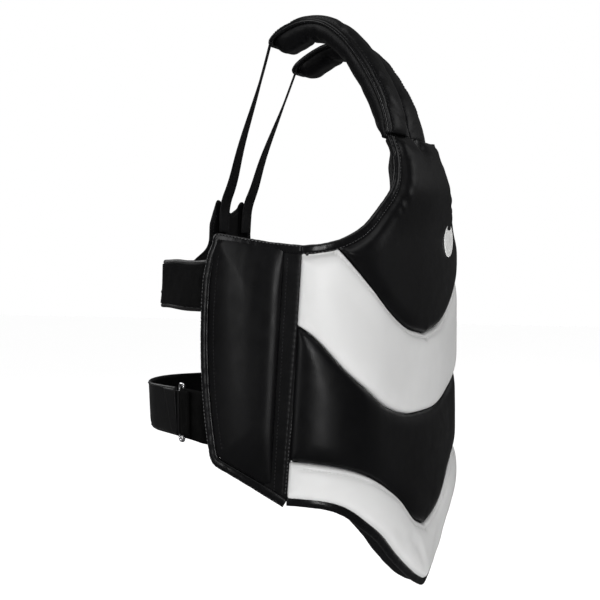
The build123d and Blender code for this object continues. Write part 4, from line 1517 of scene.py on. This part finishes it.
def wing_patches():
    """Loop patches inside the right wing, and the sewn strap ends on the left one."""
    for which, middle in (("upper", UPPER_MID), ("lower", LOWER_MID)):
        s = np.linspace(*WING_PATCH, 14)
        line = np.stack([s, np.full(len(s), middle)], -1)
        centre, _, normal = line_frames(line, torso, WING_INNER - PATCH / 2)
        up = np.broadcast_to((0.0, 0.0, 1.0), normal.shape)
        patch = sweep(f"right_wing_{which}_loop", centre, up, normal,
                      ribbon_section(STRAP_WIDTH - 0.010, PATCH), LOOP)
        fit(patch, "right_wing", "loop_tape", f"right_wing_{which}_loop_patch")
        s = np.linspace(*ROOT_SPAN, 12)
        line = np.stack([-s, np.full(len(s), middle)], -1)
        centre, _, normal = line_frames(line, torso, WING_PUFF + STRAP_THICK / 2)
        up = np.broadcast_to((0.0, 0.0, 1.0), normal.shape)
        anchor = sweep(f"{which}_strap_anchor", centre, up, normal,
                       ribbon_section(STRAP_WIDTH, STRAP_THICK, 0.0003), BLACK)
        fit(anchor, "left_wing", "black_leather", f"{which}_strap_root")
        for k, share in (("front", 0.15), ("rear", 0.55)):
            base = -(ROOT_SPAN[0] + share * (ROOT_SPAN[1] - ROOT_SPAN[0]))
            z = np.linspace(middle - 0.026, middle + 0.026, 30)
            lines = line_frames(np.stack([np.full(30, base), z], -1), torso, WING_PUFF + STRAP_THICK)
            row = stitches(f"{which}_strap_{k}_stitching", *lines, THREAD_BLACK)
            fit(row, "left_wing", "black_leather")


YOKE = Path((YOKE_Y, YOKE_TOP), -90.0, YOKE_RUNS)


def yoke_place(x, t, lift):
    """A point of the yoke: x across it and t down its face from the top."""
    y, z = YOKE.at(t, lift)
    return np.stack([np.broadcast_to(x, y.shape), y, z], -1)


def yoke():
    """The back yoke: a stitched cloth plate that hangs between the webbing and the upper strap."""
    t_table = np.linspace(0, YOKE.length, 400)
    y_table, z_table = YOKE.at(t_table)
    inner_x, inner_y = UPPER.at(np.linspace(0, UPPER.length, 600), -STRAP_THICK / 2)
    top = [(x, float(np.interp(-z, -z_table, t_table))) for x, z in YOKE_OUTLINE]
    edge = resample(np.array(top))
    xs = np.linspace(0.0, 0.07, 19)
    back = np.interp(xs, inner_x[200:400], inner_y[200:400])
    foot = np.stack([xs, np.interp(back - 0.0012, y_table[150:], t_table[150:])], -1)
    limit = np.interp(edge[:, 0], foot[:, 0], foot[:, 1])
    edge = edge[edge[:, 1] < limit - 0.001]
    outline = whole(chain(edge, foot[foot[:, 0] <= edge[-1, 0]][::-1]))

    def face(sign):
        def lift(flat, e):
            sag = 0.0010 * wobble(flat[:, 0] * 25, flat[:, 1] * 25, 2.0)
            hem = 0.0005 * bell(e - 0.003, 0.0024)
            return sign * (YOKE_THICK / 2 * crown(e, 0.0015) + hem) + sag
        return lift

    piece = soft_pad("back_yoke_cloth", outline, yoke_place, face(1), face(-1), YOKE_CLOTH,
                     (0.0015, 0.004, 0.007), spacing=0.006)
    fit(piece, "upper_strap", "yoke_fabric", "back_yoke")
    for label, inner in (("front", True), ("rear", False)):
        line = inset_outline(outline, 0.0055)
        row = stitches(f"yoke_{label}_stitching", *surface_line(piece, line, yoke_place, inner), THREAD_BLACK)
        fit(row, "upper_strap", "yoke_fabric")
    for hand, side in SIDES.items():
        t = np.linspace(0.006, 0.050, 16)
        y, z = YOKE.at(t, -YOKE_THICK / 2 - PATCH / 2)
        centre = np.stack([np.full(len(t), side * WEB_X), y, z], -1)
        flat = np.broadcast_to((1.0, 0.0, 0.0), centre.shape)
        facing = np.broadcast_to((0.0, 1.0, 0.0), centre.shape)
        patch = sweep(f"{hand}_yoke_loop", centre, flat, facing, ribbon_section(WEB_WIDTH, PATCH), LOOP)
        fit(patch, "upper_strap", "loop_tape", f"{hand}_yoke_loop_patch")


# ---------------------------------------------------------------- camera, light and floor
VIEW_AZIMUTH = math.radians(25.0)     # the camera looks along +X, turned this much towards +Y
VIEW_DISTANCE = 1.70
VIEW_TILT = math.radians(1.61)
LENS = 80.95
FLOOR_Z = -0.46


def make_camera():
    """The camera at the height of the armholes, on the wearer's right and a little in front."""
    data = bpy.data.cameras.new("camera")
    data.lens = LENS
    data.sensor_width = 36.0
    camera = bpy.data.objects.new("camera", data)
    look = Vector((math.cos(VIEW_AZIMUTH), math.sin(VIEW_AZIMUTH), 0.0))
    camera.location = -VIEW_DISTANCE * look
    aim = look * math.cos(VIEW_TILT) + Vector((0, 0, -math.sin(VIEW_TILT)))
    camera.rotation_euler = aim.to_track_quat("-Z", "Y").to_euler()
    bpy.context.scene.collection.objects.link(camera)
    bpy.context.scene.camera = camera


LIGHTS = {                # place, size and power of each lamp
    "key_light": ((-1.95, -1.50, 0.45), (0.24, 1.7), 32),
    "side_light": ((-2.10, 1.05, 0.45), (0.40, 1.6), 11),
    "far_light": ((1.9, -1.9, 0.9), (1.2, 1.2), 5),
    "back_light": ((0.6, 2.3, 1.0), (1.3, 1.3), 16),
}
AIM = Vector((0, 0, -0.05))
FLOOR_HALF = 8.0
SURROUND_RADIUS = 11.0


def area_light(name, place, size, power):
    """A soft rectangular light aimed at the object's middle."""
    data = bpy.data.lights.new(name, "AREA")
    data.shape = "RECTANGLE"
    data.size, data.size_y = size
    data.energy = power
    light = bpy.data.objects.new(name, data)
    light.location = place
    light.rotation_euler = (AIM - Vector(place)).to_track_quat("-Z", "Y").to_euler()
    bpy.context.scene.collection.objects.link(light)


def dome(name, radius, material):
    """A round surround about the whole scene."""
    points = []
    rings, around = 24, 48
    for i in range(rings + 1):
        tilt = math.pi * i / rings
        for k in range(around):
            turn = 2 * math.pi * k / around
            points.append((radius * math.sin(tilt) * math.cos(turn), radius * math.sin(tilt) * math.sin(turn),
                           radius * math.cos(tilt)))
    return add_mesh(name, points, tube_faces(rings + 1, around), material)


def make_stage():
    """A dim room with a pale surround, soft lamps and a pale floor."""
    world = bpy.data.worlds.new("studio")
    bpy.context.scene.world = world
    world.use_nodes = True
    sky = world.node_tree.nodes["Background"]
    sky.inputs["Color"].default_value = (1.0, 1.0, 1.0, 1.0)
    sky.inputs["Strength"].default_value = 0.09
    for name, (place, size, power) in LIGHTS.items():
        area_light(name, place, size, power)
    data = bpy.data.lights.new("ceiling_light", "SUN")
    data.energy = 1.1
    data.angle = math.radians(60)
    ceiling = bpy.data.objects.new("ceiling_light", data)
    bpy.context.scene.collection.objects.link(ceiling)
    corners = [(x * FLOOR_HALF, y * FLOOR_HALF, FLOOR_Z) for x, y in ((-1, -1), (1, -1), (1, 1), (-1, 1))]
    floor = add_mesh("floor", corners, [(0, 1, 2, 3)], floor_material(), False)
    floor.visible_glossy = False
    surround = dome("surround", SURROUND_RADIUS, surround_material())
    surround.visible_glossy = False
    surround.visible_diffuse = False
    surround.visible_shadow = False
    surround.visible_transmission = False
    bpy.context.scene.view_settings.view_transform = "Standard"


def surround_material():
    """Evenly lit white paper."""
    material, _, _, shader, _ = new_material("surround_paper", (0.0, 0.0, 0.0), 1.0)
    shader.inputs["Emission Color"].default_value = (1.0, 1.0, 1.0, 1)
    shader.inputs["Emission Strength"].default_value = 1.0
    shader.inputs["Specular IOR Level"].default_value = 0.0
    return material


def floor_material():
    """Plain pale floor, which gives some light of its own."""
    material, nodes, links, shader, at = new_material("floor_paint", (0.9, 0.9, 0.9), 0.9)
    tint(nodes, links, noise_node(nodes, links, at, 3), (0.89, 0.89, 0.89), (0.91, 0.91, 0.91), shader)
    shader.inputs["Emission Color"].default_value = (1.0, 1.0, 1.0, 1)
    shader.inputs["Emission Strength"].default_value = 0.60
    return material


make_camera()
make_front()
for hand, side in SIDES.items():
    wing(hand, side)
    shoulder(hand, side)
    webbing(hand, side)
upper_strap()
lower_straps()
wing_patches()
yoke()
make_stage()
